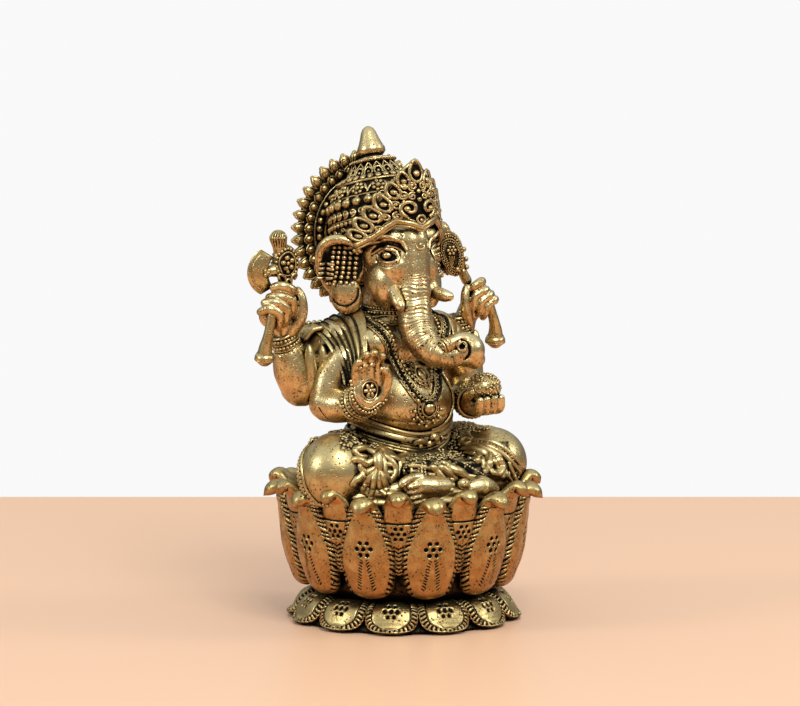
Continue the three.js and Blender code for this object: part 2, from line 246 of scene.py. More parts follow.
# ------------------------------------------------------------------------------------------------ shaping
def smoothstep(low: float, high: float, value: Array | float) -> Array | float:
    """0 below low, 1 above high, and smooth between them. low may be the larger."""
    share = np.clip((value - low) / (high - low), 0.0, 1.0)
    return share * share * (3 - 2 * share)


def fade(low: float, high: float, value: Array | float) -> Array | float:
    """1 below low, 0 above high, and smooth between them."""
    return 1 - smoothstep(low, high, value)


def along(table: Line, where: Array) -> Array:
    """Reads a smooth curve through a table.

    Args:
        table: Rows of a position and its values, in rising order of position.
        where: The positions to read.

    Returns:
        One row of values for each position.
    """
    rows = np.asarray(table, float)
    at, values = rows[:, 0], rows[:, 1:]
    slopes = np.gradient(values, at, axis=0)
    cell = np.clip(np.searchsorted(at, where, side="right") - 1, 0, len(at) - 2)
    width = at[cell + 1] - at[cell]
    share = ((where - at[cell]) / width)[..., None]
    width = width[..., None]
    square, cube = share**2, share**3
    start = (2 * cube - 3 * square + 1) * values[cell] + (cube - 2 * square + share) * width * slopes[cell]
    end = (3 * square - 2 * cube) * values[cell + 1] + (cube - square) * width * slopes[cell + 1]
    return start + end


def route(points: Line, steps: int = 6, closed: bool = False) -> list[Vector]:
    """A smooth run of points through the given ones.

    Args:
        points: Where it passes.
        steps: How many points for each stretch.
        closed: Whether it ends where it starts.

    Returns:
        The points. A closed route ends on its first point.
    """
    knots = [Vector(point) for point in points]
    count = len(knots)
    run = []
    for i in range(count if closed else count - 1):
        if closed:
            a, b, c, d = (knots[(i + k) % count] for k in (-1, 0, 1, 2))
        else:
            a, b, c, d = (knots[min(max(i + k, 0), count - 1)] for k in (-1, 0, 1, 2))
        for step in range(steps):
            t = step / steps
            square, cube = (2 * a - 5 * b + 4 * c - d) * t**2, (3 * b - a - 3 * c + d) * t**3
            run.append(0.5 * (2 * b + (c - a) * t + square + cube))
    run.append(knots[0].copy() if closed else knots[-1].copy())
    return run


def girths(values: Girth, count: int) -> list[float]:
    """A thickness for each of count points, spread evenly over the given ones."""
    if isinstance(values, (int, float)):
        return [float(values)] * count
    return list(np.interp(np.linspace(0, 1, count), np.linspace(0, 1, len(values)), values))


class Casting:
    """Metal being shaped: a mesh in millimetres, whose vertices carry their patina from 0 to 1."""

    def __init__(self) -> None:
        self.mesh = bmesh.new()
        self.patina = self.mesh.verts.layers.float.new("patina")

    # ---- adding metal
    def _stain(self, verts: Iterable[bmesh.types.BMVert], amount: float) -> None:
        """Gives new vertices their patina."""
        for vert in verts:
            vert[self.patina] = amount

    def ball(
        self, at: Point, radii: float | Point, turn: Point = (0, 0, 0), fine: int = 2,
        stain: float = 0.0,
    ) -> None:
        """Adds a bead, or an ellipsoid.

        Args:
            at: Its centre.
            radii: Its radius, or three half sizes.
            turn: Degrees about X, Y and Z.
            fine: 1 for a tiny bead, 2 for a bead, and up to 5 for a large form.
            stain: Its patina.
        """
        sizes = (radii, radii, radii) if isinstance(radii, (int, float)) else radii
        spin = Euler([math.radians(angle) for angle in turn]).to_matrix().to_4x4()
        matrix = Matrix.Translation(at) @ spin @ Matrix.Diagonal((*sizes, 1))
        made = bmesh.ops.create_icosphere(self.mesh, subdivisions=fine, radius=1, matrix=matrix)
        self._stain(made["verts"], stain)

    def sheet(
        self, columns: int, rows: int, shape: Callable[[Array, Array], Array],
        relief: Relief | None = None,
    ) -> None:
        """Adds a surface by formula, and joins the points of it that fall together.

        Args:
            columns: Faces along u.
            rows: Faces along v.
            shape: The place of each point, from u and v, which run from 0 to 1.
            relief: How far each point is lifted off the surface, and its patina.
        """
        made = bmesh.ops.create_grid(self.mesh, x_segments=columns, y_segments=rows, size=1)["verts"]
        flat = np.array([vert.co for vert in made])
        column = np.rint((flat[:, 0] + 1) / 2 * columns).astype(int)
        row = np.rint((flat[:, 1] + 1) / 2 * rows).astype(int)
        u, v = np.meshgrid(np.linspace(0, 1, columns + 1), np.linspace(0, 1, rows + 1))
        points = shape(u, v)
        stains = np.zeros_like(u)
        if relief:
            normals = np.cross(np.gradient(points, axis=1), np.gradient(points, axis=0))
            lengths = np.linalg.norm(normals, axis=-1, keepdims=True)
            lift, stains = relief(u, v)
            points = points + normals / np.maximum(lengths, 1e-9) * lift[..., None]
        for vert, i, j in zip(made, row, column):
            vert.co = points[i, j]
            vert[self.patina] = stains[i, j]
        bmesh.ops.remove_doubles(self.mesh, verts=made, dist=0.004)

    def tube(
        self, points: Line, girth: Girth, sides: int = 8, flat: float = 1.0,
        up: Point | None = None, closed: bool = False, stain: float = 0.0,
        relief: Relief | None = None,
    ) -> None:
        """Adds a bar along a run of points, with round ends.

        Args:
            points: Its middle line.
            girth: Its radius, or radii spread along it.
            sides: Faces round it.
            flat: How thick it is along up, as a share of its width.
            up: The direction that its flat side faces, where that matters.
            closed: Whether its ends meet.
            stain: Its patina.
            relief: What is raised on it and cut in it, as for a sheet.
        """
        line = [Vector(point) for point in points]
        radii = girths(girth, len(line))
        if not closed:
            first, last = (line[0] - line[1]).normalized(), (line[-1] - line[-2]).normalized()
            caps = [(math.sin(a), math.cos(a)) for a in (1.57, 1.1, 0.55)]
            head = [(line[0] + first * radii[0] * out, radii[0] * left) for out, left in caps]
            tail = [(line[-1] + last * radii[-1] * out, radii[-1] * left) for out, left in reversed(caps)]
            line = [at for at, _ in head] + line + [at for at, _ in tail]
            radii = [r for _, r in head] + radii + [r for _, r in tail]
        rings = []
        count = len(line)
        across = None
        for i, at in enumerate(line):
            before, after = line[max(i - 1, 0)], line[min(i + 1, count - 1)]
            if closed:
                before, after = line[i - 1 if i else -2], line[i + 1 if i < count - 1 else 1]
            heading = (after - before).normalized()
            if up is not None:
                side = heading.cross(Vector(up)).normalized()
            elif across is None:
                side = heading.orthogonal().normalized()
            else:
                side = (across - heading * across.dot(heading)).normalized()
            across = side
            lift = side.cross(heading).normalized() * flat
            rings.append((np.array(at), np.array(side), np.array(lift), radii[i]))

        def shape(u: Array, v: Array) -> Array:
            row = np.rint(v * (count - 1)).astype(int)
            at, side, lift, radius = (np.array([ring[k] for ring in rings])[row] for k in range(4))
            angle = (u * TURN)[..., None]
            return at + (side * np.cos(angle) + lift * np.sin(angle)) * radius[..., None]

        def plain(u: Array, v: Array) -> Pair:
            return np.zeros_like(u), np.full_like(u, stain)

        self.sheet(sides, count - 1, shape, relief or plain)

    def bar(self, points: Line, steps: int, girth: Girth, sides: int = 8) -> None:
        """Adds a tube along a smooth run through points, with steps places to each stretch."""
        self.tube(route(points, steps), girth, sides)

    def turned(self, profile: Line, steps: int = 64, stain: float = 0.0) -> None:
        """Adds a form turned about the Z axis.

        Args:
            profile: Radius and height, from the bottom of the axis round to the top of it.
            steps: Faces round it.
            stain: Its patina.
        """
        older = set(self.mesh.verts)
        verts = [self.mesh.verts.new((radius, 0, height)) for radius, height in profile]
        edges = [self.mesh.edges.new(pair) for pair in zip(verts, verts[1:])]
        bmesh.ops.spin(
            self.mesh, geom=verts + edges, axis=(0, 0, 1), cent=(0, 0, 0), angle=TURN, steps=steps,
            use_merge=True,
        )
        fresh = [vert for vert in self.mesh.verts if vert not in older]
        self._stain(fresh, stain)
        bmesh.ops.remove_doubles(self.mesh, verts=fresh, dist=0.001)

    def ring(self, at: Point, radius: float, girth: float, steps: int = 16) -> None:
        """Adds a flat-lying round loop of bar."""
        centre = Vector(at)
        angles = [TURN * i / steps for i in range(steps + 1)]
        loop = [centre + polar(radius, a) for a in angles]
        self.tube(loop, girth, 6, 1.0, (0, 0, 1), closed=True)

    def add(self, other: "Casting", place: Place | Matrix | None = None) -> None:
        """Adds a copy of other metal, moved point by point by a place or a matrix."""
        copied = bpy.data.meshes.new("pattern")
        other.mesh.to_mesh(copied)
        for vert in copied.vertices:
            if isinstance(place, Matrix):
                vert.co = place @ vert.co
            elif place is not None:
                vert.co = place(vert.co)
        self.mesh.from_mesh(copied)
        bpy.data.meshes.remove(copied)

    # ---- working metal
    def fuse(self, voxel: float, passes: int = 3) -> "Casting":
        """Melts overlapping forms into one skin.

        Args:
            voxel: The size of its faces.
            passes: How often it is smoothed.

        Returns:
            The new metal. This one is spent.
        """
        lump = self.bare("lump", 1.0)
        remesh = lump.modifiers.new("melt", "REMESH")
        remesh.mode = "VOXEL"
        remesh.voxel_size = voxel
        bpy.context.view_layer.update()
        melted = bpy.data.meshes.new_from_object(lump.evaluated_get(bpy.context.evaluated_depsgraph_get()))
        whole = Casting()
        whole.mesh.from_mesh(melted)
        old = lump.data
        bpy.data.objects.remove(lump)
        bpy.data.meshes.remove(old)
        bpy.data.meshes.remove(melted)
        whole.smooth(passes)
        return whole

    def smooth(self, passes: int) -> None:
        """Relaxes the whole surface."""
        for _ in range(passes):
            bmesh.ops.smooth_vert(
                self.mesh, verts=self.mesh.verts, factor=0.5, use_axis_x=True, use_axis_y=True,
                use_axis_z=True,
            )

    def carve(self, cut: Callable[[Array], Pair]) -> None:
        """Lifts or sinks each point along its normal, and stains it.

        Args:
            cut: Takes all the points, and gives how far each is lifted and the patina that it gains.
        """
        self.mesh.normal_update()
        points = np.array([vert.co for vert in self.mesh.verts])
        lift, stain = cut(points)
        for vert, height, amount in zip(self.mesh.verts, lift, stain):
            vert.co += vert.normal * float(height)
            vert[self.patina] = min(1.0, vert[self.patina] + float(amount))

    def move(self, place: Matrix) -> None:
        """Turns, scales or moves all of it."""
        bmesh.ops.transform(self.mesh, matrix=place, verts=self.mesh.verts)

    def mirrored(self) -> "Casting":
        """A copy for the figure's other side."""
        twin = Casting()
        twin.add(self, Matrix.Diagonal((-1, 1, 1, 1)))
        bmesh.ops.reverse_faces(twin.mesh, faces=twin.mesh.faces)
        return twin

    def beads(self, line: Sequence[Vector], radius: float, gap: float, fine: int = 2) -> None:
        """Adds beads a gap apart along a run of points."""
        for spot in spaced(line, gap):
            self.ball(spot, radius, fine=fine)

    # ---- finishing
    def bare(self, name: str, scale: float) -> bpy.types.Object:
        """Makes a Blender object of the metal, scaled."""
        mesh = bpy.data.meshes.new(name)
        bmesh.ops.recalc_face_normals(self.mesh, faces=self.mesh.faces)
        bmesh.ops.transform(self.mesh, matrix=Matrix.Scale(scale, 4), verts=self.mesh.verts)
        self.mesh.to_mesh(mesh)
        self.mesh.free()
        mesh.shade_smooth()
        piece = bpy.data.objects.new(name, mesh)
        bpy.context.scene.collection.objects.link(piece)
        return piece

    def piece(self, name: str, finish: Finish, *nodes: str, hollows: float = 2.4) -> bpy.types.Object:
        """Finishes the metal as a piece of the statue.

        Args:
            name: The piece's name.
            finish: Its finish.
            nodes: The frame's nodes that it stands for.
            hollows: How strongly patina gathers in its hollows.

        Returns:
            The piece.
        """
        made = self.bare(name, MM)
        gather_patina(made.data, hollows)
        made.data.materials.append(MATERIALS[finish])
        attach(made, "root")
        if nodes:
            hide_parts(*nodes)
        box = np.array([vert.co for vert in made.data.vertices]) / MM
        low, high = box.min(axis=0).round(1), box.max(axis=0).round(1)
        log.info("%s: %d faces %s %s", name, len(made.data.polygons), low, high)
        return made


def gather_patina(mesh: bpy.types.Mesh, strength: float) -> None:
    """Adds patina where the surface is hollow, by how far each point lies below its neighbours."""
    count = len(mesh.vertices)
    points, normals = np.empty(count * 3), np.empty(count * 3)
    mesh.vertices.foreach_get("co", points)
    mesh.vertices.foreach_get("normal", normals)
    points, normals = points.reshape(-1, 3), normals.reshape(-1, 3)
    ends = np.empty(len(mesh.edges) * 2, int)
    mesh.edges.foreach_get("vertices", ends)
    first, second = ends[0::2], ends[1::2]
    joins = np.maximum(np.bincount(ends, minlength=count), 1)
    even = points.copy()
    for _ in range(3):
        ahead = [np.bincount(first, even[second, k], count) for k in range(3)]
        back = [np.bincount(second, even[first, k], count) for k in range(3)]
        even = (np.stack(ahead, axis=1) + np.stack(back, axis=1)) / joins[:, None]
    hollow = np.einsum("ij,ij->i", even - points, normals) / MM
    patina = mesh.attributes["patina"]
    stain = np.empty(count)
    patina.data.foreach_get("value", stain)
    patina.data.foreach_set("value", np.clip(stain + np.clip(hollow * strength * 4, -0.25, 0.9), 0, 1))


class Skin:
    """A finished form that ornament is laid on."""

    def __init__(self, form: Casting) -> None:
        self.mesh = form.mesh.copy()
        self.mesh.normal_update()
        self.mesh.faces.ensure_lookup_table()
        self.tree = BVHTree.FromBMesh(self.mesh)

    def _normal(self, spot: Vector, face: int) -> Vector:
        """The smooth normal at a spot on a face."""
        corners = self.mesh.faces[face].verts
        weights = poly_3d_calc([vert.co for vert in corners], spot)
        total = Vector((0, 0, 0))
        for vert, weight in zip(corners, weights):
            total += vert.normal * weight
        return total.normalized()

    def near(self, point: Point, lift: float = 0.0) -> Vector:
        """The nearest place on the form, lifted off it."""
        spot, _, face, _ = self.tree.find_nearest(Vector(point))
        return spot + self._normal(spot, face) * lift

    def run(self, points: Line, steps: int, lift: float) -> list[Vector]:
        """A smooth run through points, laid on the form and lifted off it."""
        return [self.near(spot, lift) for spot in route(points, steps)]

    def facing(self, point: Point) -> Vector:
        """The form's normal nearest to a point."""
        spot, _, face, _ = self.tree.find_nearest(Vector(point))
        return self._normal(spot, face)

    def patch(self, centre: Point, aim: Point) -> Place:
        """A place for flat ornament: it is pressed on to the form along aim.

        Args:
            centre: Where the ornament's own origin goes.
            aim: The way it is pressed. Its Y axis points up, squared to that.

        Returns:
            The place of each point of the flat ornament, whose Z is its height above the form.
        """
        push = Vector(aim).normalized()
        across = push.cross(Vector((0, 0, 1))).normalized()
        rise = across.cross(push)
        middle = Vector(centre)

        def place(point: Vector) -> Vector:
            start = middle + across * point.x + rise * point.y - push * 40
            spot, _, face, _ = self.tree.ray_cast(start, push)
            if spot is None:
                return self.near(start + push * 40, point.z)
            return spot + self._normal(spot, face) * point.z

        return place


def spaced(line: Sequence[Vector], gap: float) -> list[Vector]:
    """Points a gap apart along a run of points."""
    found = [line[0]]
    reach = gap
    for start, end in zip(line, line[1:]):
        length = (end - start).length
        while length > 0 and reach <= length:
            found.append(start.lerp(end, reach / length))
            reach += gap
        reach -= length
    return found


def polar(radius: float, angle: float, height: float = 0.0) -> Vector:
    """A point round the Z axis, from an angle in radians from +X."""
    return Vector((radius * math.cos(angle), radius * math.sin(angle), height))


def around(count: int, phase: float = 0.0) -> list[Matrix]:
    """Turns about the Z axis, evenly spread. phase is in degrees, and 0 faces -Y."""
    return [Matrix.Rotation(math.radians(phase) + TURN * i / count, 4, "Z") for i in range(count)]


def frame_along(at: Point, heading: Vector) -> Matrix:
    """The frame at a point whose Z runs along a heading."""
    return Matrix.Translation(at) @ heading.to_track_quat("Z", "Y").to_matrix().to_4x4()


def arc(
    centre: Point, radius: float, start: float, end: float, steps: int = 10, stretch: float = 1.0,
) -> list[Vector]:
    """Points along a flat arc. Its angles are degrees from +X, and stretch is its height over its width."""
    angles = [math.radians(start + (end - start) * i / steps) for i in range(steps + 1)]
    return [
        Vector((centre[0] + radius * math.cos(a), centre[1] + radius * stretch * math.sin(a), 0))
        for a in angles
    ]


def spiral(radius: float, start: float, turns: float, steps: int) -> list[Vector]:
    """Points along a flat spiral that winds in. turns is negative where it winds clockwise."""
    line = []
    for i in range(steps + 1):
        share = i / steps
        reach = radius * (1 - 0.72 * share)
        angle = math.radians(start) + TURN * turns * share
        line.append(polar(reach, angle))
    return line


def laid(place: Place, shift: Point = (0, 0), angle: float = 0.0, lift: float = 0.0) -> Place:
    """A place for flat ornament that is first turned by degrees and shifted in its own plane, then lifted."""
    turn = Matrix.Rotation(math.radians(angle), 3, "Z")

    def put(point: Vector) -> Vector:
        return place(turn @ point + Vector((*shift, lift)))

    return put


def eyelet(radius: float, girth: float, bead: float, stretch: float = 1.0, point: float = 0.0) -> Casting:
    """A flat ring round a bead. point draws its top out into a tip."""
    pattern = Casting()
    loop = arc((0, 0), radius, -90, 270, 16, stretch)
    for spot in loop:
        spot.y += point * max(spot.y, 0) ** 2 / (radius * stretch)
        spot.x *= 1 - 0.35 * point * max(spot.y, 0) / (radius * stretch)
    pattern.tube(loop, girth, 6, 1.0, (0, 0, 1), closed=True)
    pattern.ball((0, -0.1 * radius, 0), bead)
    return pattern


def curl(radius: float, girth: float, turns: float = 1.3) -> Casting:
    """A flat scroll that winds in to a bead."""
    pattern = Casting()
    line = spiral(radius, -100, turns, 22)
    pattern.tube(line, [girth, girth, girth * 0.8], 6, 1.0, (0, 0, 1))
    pattern.ball(line[-1], girth * 1.5)
    return pattern


def rosette(petals: int, radius: float, bead: float, heart: float) -> Casting:
    """A flat flower of beads round a larger one."""
    pattern = Casting()
    for i in range(petals):
        angle = TURN * i / petals
        pattern.ball(polar(radius, angle), bead)
    pattern.ball((0, 0, heart * 0.2), heart)
    return pattern


# ------------------------------------------------------------------------------------------------ lotus
@dataclass(frozen=True)
class Petal:
    """One petal that faces -Y.

    Fields: spine is rows of (share, radius, height); section is rows of (share, half width, depth in front of
    the spine, depth behind it); columns and rows are its faces; front is the share of the columns on its outer
    side; outward is -1 where the spine runs down instead of up.
    """

    spine: Line
    section: Line
    columns: int
    rows: int
    front: float = 0.74
    outward: int = 1

    def angle(self, u: Array) -> Array:
        """How far round the section a point is: 0 to pi in front, pi to 2 pi behind."""
        return np.where(u < self.front, u / self.front, 1 + (u - self.front) / (1 - self.front)) * math.pi

    def shape(self, u: Array, v: Array) -> Array:
        """The smooth form."""
        middle = along(self.spine, v)
        heading = np.gradient(middle, axis=0)
        heading /= np.linalg.norm(heading, axis=-1, keepdims=True)
        width, ahead, behind = np.moveaxis(np.maximum(along(self.section, v), 0), -1, 0)
        angle = self.angle(u)
        sine = np.sin(angle)
        depth = np.where(sine > 0, ahead * np.abs(sine) ** 0.85, -behind * np.abs(sine)) * self.outward
        radius = middle[..., 0] + heading[..., 1] * depth
        height = middle[..., 1] - heading[..., 0] * depth
        return np.stack([-width * np.cos(angle) * self.outward, -radius, height], axis=-1)

    def flat(self, u: Array, v: Array) -> tuple[Array, Array, Array, Array]:
        """Measures: across, along, the distance from the edge, and 1 on the front but 0 behind."""
        width, ahead, _ = np.moveaxis(np.maximum(along(self.section, v), 0), -1, 0)
        angle = self.angle(u)
        across = -width * np.cos(angle)
        middle = along(self.spine, v)
        steps = np.linalg.norm(np.diff(middle, axis=0), axis=-1)
        length = np.vstack([np.zeros((1, v.shape[1])), np.cumsum(steps, axis=0)])
        edge = np.hypot(width * (1 - np.abs(np.cos(angle))), ahead * np.sin(angle))
        return across, length, edge, (np.sin(angle) > 0.02).astype(float)

    def cast(self, relief: Relief) -> Casting:
        """The petal with its relief."""
        metal = Casting()
        metal.sheet(self.columns, self.rows, self.shape, relief)
        return metal


def flower_pits(across: Array, length: Array, centre: float, spread: float, radius: float) -> Array:
    """1 inside the seven punched pits of a flower, 0 outside."""
    spots = [(0.0, 0.0)] + [
        (spread * math.cos(k * TURN / 6), spread * math.sin(k * TURN / 6)) for k in range(6)
    ]
    pits = np.zeros_like(across)
    for x, y in spots:
        near = np.hypot(across - x, length - centre - y)
        pits = np.maximum(pits, fade(radius * 0.55, radius * 1.15, near))
    return pits


def dashes(phase: Array) -> Array:
    """1 in each cut of a row of cuts, 0 between them."""
    return smoothstep(0.46, 0.80, 0.5 + 0.5 * np.cos(TURN * phase))


def wavering(x: Array, y: Array) -> Array:
    """The slight unevenness of a hand-worked surface, about -1 to 1."""
    return (np.sin(1.1 * x + 0.6 * y + 1) + np.sin(0.7 * y - 1.7 * x) + np.sin(1.9 * y + 0.4 * x + 2)) / 3


@dataclass
class Lotus:
    """The double lotus: a foot of down-turned petals, a cup, its outer petals and its inner petals."""

    foot_petals: int = 12
    foot_phase: float = -7.0
    petals: int = 11
    outer: Petal = Petal(
        spine=[
            (0, 18.8, 7.4), (0.1, 19.9, 8.9), (0.3, 20.9, 12.4), (0.5, 21.9, 16.8), (0.68, 23, 21.2),
            (0.8, 24.2, 24.8), (0.88, 25.3, 27.0), (0.94, 26.8, 27.3), (1, 29.0, 25.6),
        ],
        section=[
            (0, 0, 0, 0), (0.02, 2.1, 1, 0.5), (0.05, 3.3, 1.7, 0.8), (0.1, 4.2, 2.4, 1.1),
            (0.2, 5.0, 2.9, 1.3), (0.3, 5.5, 3.2, 1.4),
            (0.45, 5.95, 3.4, 1.4), (0.58, 5.75, 3.2, 1.4), (0.7, 4.9, 2.7, 1.4), (0.8, 3.8, 2, 1.5),
            (0.88, 2.8, 1.5, 1.7), (0.94, 2.2, 1.3, 1.5), (0.98, 1.25, 0.8, 0.9), (1, 0, 0, 0),
        ],
        columns=124, rows=128,
    )
    inner: Petal = Petal(
        spine=[
            (0, 21.2, 12), (0.25, 21.9, 17), (0.5, 22.6, 21.6), (0.72, 23.5, 25.4), (0.86, 24.8, 28),
            (0.94, 26.5, 28.9), (1, 28.1, 27.2),
        ],
        section=[
            (0, 0, 0, 0), (0.03, 1.5, 0.8, 0.6), (0.1, 2.5, 1.2, 1), (0.3, 3.4, 1.7, 1.2),
            (0.55, 3.9, 1.9, 1.3),
            (0.75, 3.5, 1.7, 1.4), (0.86, 2.7, 1.3, 1.5), (0.94, 1.85, 1.1, 1.3), (0.985, 0.95, 0.7, 0.8),
            (1, 0, 0, 0),
        ],
        columns=80, rows=84,
    )
    lower: Petal = Petal(
        spine=[
            (0, 16.4, 5.6), (0.2, 18.4, 5.0), (0.45, 20.2, 3.7), (0.66, 21.4, 2.0), (0.8, 22.4, 1.15),
            (0.92, 23.4, 0.8), (1, 24.2, 0.75),
        ],
        section=[
            (0, 4.2, 0.5, 0.4), (0.2, 4.8, 1.2, 0.6), (0.45, 5.25, 1.7, 0.8), (0.66, 5.1, 1.6, 1.2),
            (0.8, 4.3, 1.2, 0.8), (0.9, 3.2, 0.8, 0.6), (0.96, 2, 0.6, 0.5), (1, 0, 0, 0),
        ],
        columns=88, rows=72, outward=-1,
    )

    def _outer_relief(self, u: Array, v: Array) -> Pair:
        """Stitch cuts along both edges, a punched flower, and a feather of cuts under it."""
        across, length, edge, front = self.outer.flat(u, v)
        climb = smoothstep(1.2, 2.4, length) * fade(0.84, 0.88, v)
        band = smoothstep(0.12, 0.35, edge) * fade(1.75, 2.05, edge) * climb * front
        stitches = dashes(length / 1.06 - edge * 0.55 + 0.12 * np.sin(2.3 * length)) * band
        rim = fade(1.35, 1.9, edge) * climb * front
        pits = flower_pits(across, length, 12.1, 1.5, 0.52) * front
        drop = 10.7 - length
        offset = np.abs(np.abs(across) - (0.55 + 0.14 * drop))
        feather = fade(0.3, 0.5, offset) * smoothstep(0.6, 1.2, drop) * fade(7.2, 8, drop)
        feather = feather * dashes(length / 0.72 - np.abs(across) * 0.9) * front
        lift = 0.16 * rim - 0.42 * stitches - 0.55 * pits - 0.24 * feather + 0.07 * wavering(across, length)
        shade = fade(0.1, 0.7, edge) * fade(0.8, 0.86, v) + (1 - front) * (v < 0.82)
        return lift, stitches + pits + 0.9 * feather + 0.8 * shade

    def _inner_relief(self, u: Array, v: Array) -> Pair:
        """A line under the tip, a punched flower, and cuts down the middle and the edges."""
        across, length, edge, front = self.inner.flat(u, v)
        line = fade(0.16, 0.34, np.abs(length - 11.9)) * front
        pits = flower_pits(across, length, 9.6, 1.3, 0.46) * front
        low = fade(6.6, 7.4, length)
        middle = fade(0.9, 1.3, np.abs(across)) * low * front
        chevrons = middle * dashes(length / 0.9 - np.abs(across) * 0.55)
        band = smoothstep(0.1, 0.3, edge) * fade(0.95, 1.2, edge) * fade(0.74, 0.8, v) * front
        stitches = band * dashes(length / 0.9 - edge * 0.6)
        lift = -0.4 * line - 0.5 * pits - 0.3 * chevrons - 0.34 * stitches + 0.05 * wavering(across, length)
        return lift, line + pits + chevrons + stitches

    def _lower_relief(self, u: Array, v: Array) -> Pair:
        """Rope-like cuts round a thick rim, and a punched flower in the field."""
        across, length, edge, front = self.lower.flat(u, v)
        field_centre = 3.4
        bearing = np.arctan2(across, length - field_centre) / TURN
        band = smoothstep(0.1, 0.3, edge) * fade(1.3, 1.55, edge) * smoothstep(0.6, 1.4, length) * front
        cuts = dashes(bearing * 38) * band
        groove = fade(0.12, 0.3, np.abs(edge - 1.6)) * smoothstep(0.8, 1.6, length) * front
        pits = flower_pits(across, length, 4.3, 1.28, 0.5) * front
        rim = fade(1.3, 1.7, edge) * front
        return 0.2 * rim - 0.42 * cuts - 0.12 * groove - 0.5 * pits, cuts + pits + 0.55 * groove

    def build(self) -> None:
        """Makes every piece of the lotus."""
        self._foot()
        self._cup()
        petal = self.outer.cast(self._outer_relief)
        for i, turn in enumerate(around(self.petals, 180 / self.petals)):
            copy = Casting()
            copy.add(petal, turn)
            copy.piece(f"outer_petal_{i + 1:02d}", Finish.LOTUS, f"lotus_petal_{i + 1:02d}")
        between = self.inner.cast(self._inner_relief)
        ring = Casting()
        for turn in around(self.petals):
            ring.add(between, turn)
        ring.turned([(18.4, 23.6), (21.4, 23.6), (22.0, 25.2), (18.9, 25.4), (18.4, 23.6)], 66, 0.8)
        ring.piece("inner_petals", Finish.LOTUS, "inner_petal_ring")

    def _foot(self) -> None:
        """The lower tier, with its hub."""
        foot = Casting()
        petal = self.lower.cast(self._lower_relief)
        for turn in around(self.foot_petals, self.foot_phase):
            foot.add(petal, turn)
        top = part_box("lotus_foot")[1].z / MM
        foot.turned([(0, 0), (21.6, 0), (21.9, 0.8), (19, 2.6), (16.6, 5.2), (16.4, top), (0, top)], 96, 0.85)
        foot.piece("lower_petals", Finish.LOTUS, "lotus_foot")

    def _cup(self) -> None:
        """The cup behind the petals, with rings of seeds on its flat top."""
        low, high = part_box("lotus_cup")
        seat = high.z / MM
        cup = Casting()
        cup.turned(
            [
                (0, low.z / MM - 0.3), (17.4, low.z / MM - 0.3), (19, 8.6), (20.2, 13), (20.9, 19),
                (21.4, seat), (0, seat),
            ],
            88, 0.9,
        )
        for ring, count in ((20.0, 50), (17.2, 42), (14.4, 34), (11.6, 28)):
            for turn in around(count):
                cup.ball(turn @ Vector((0, -ring, seat)), (0.85, 0.85, 0.5), fine=1, stain=0.15)
        cup.piece("seed_cup", Finish.LOTUS, "lotus_cup")


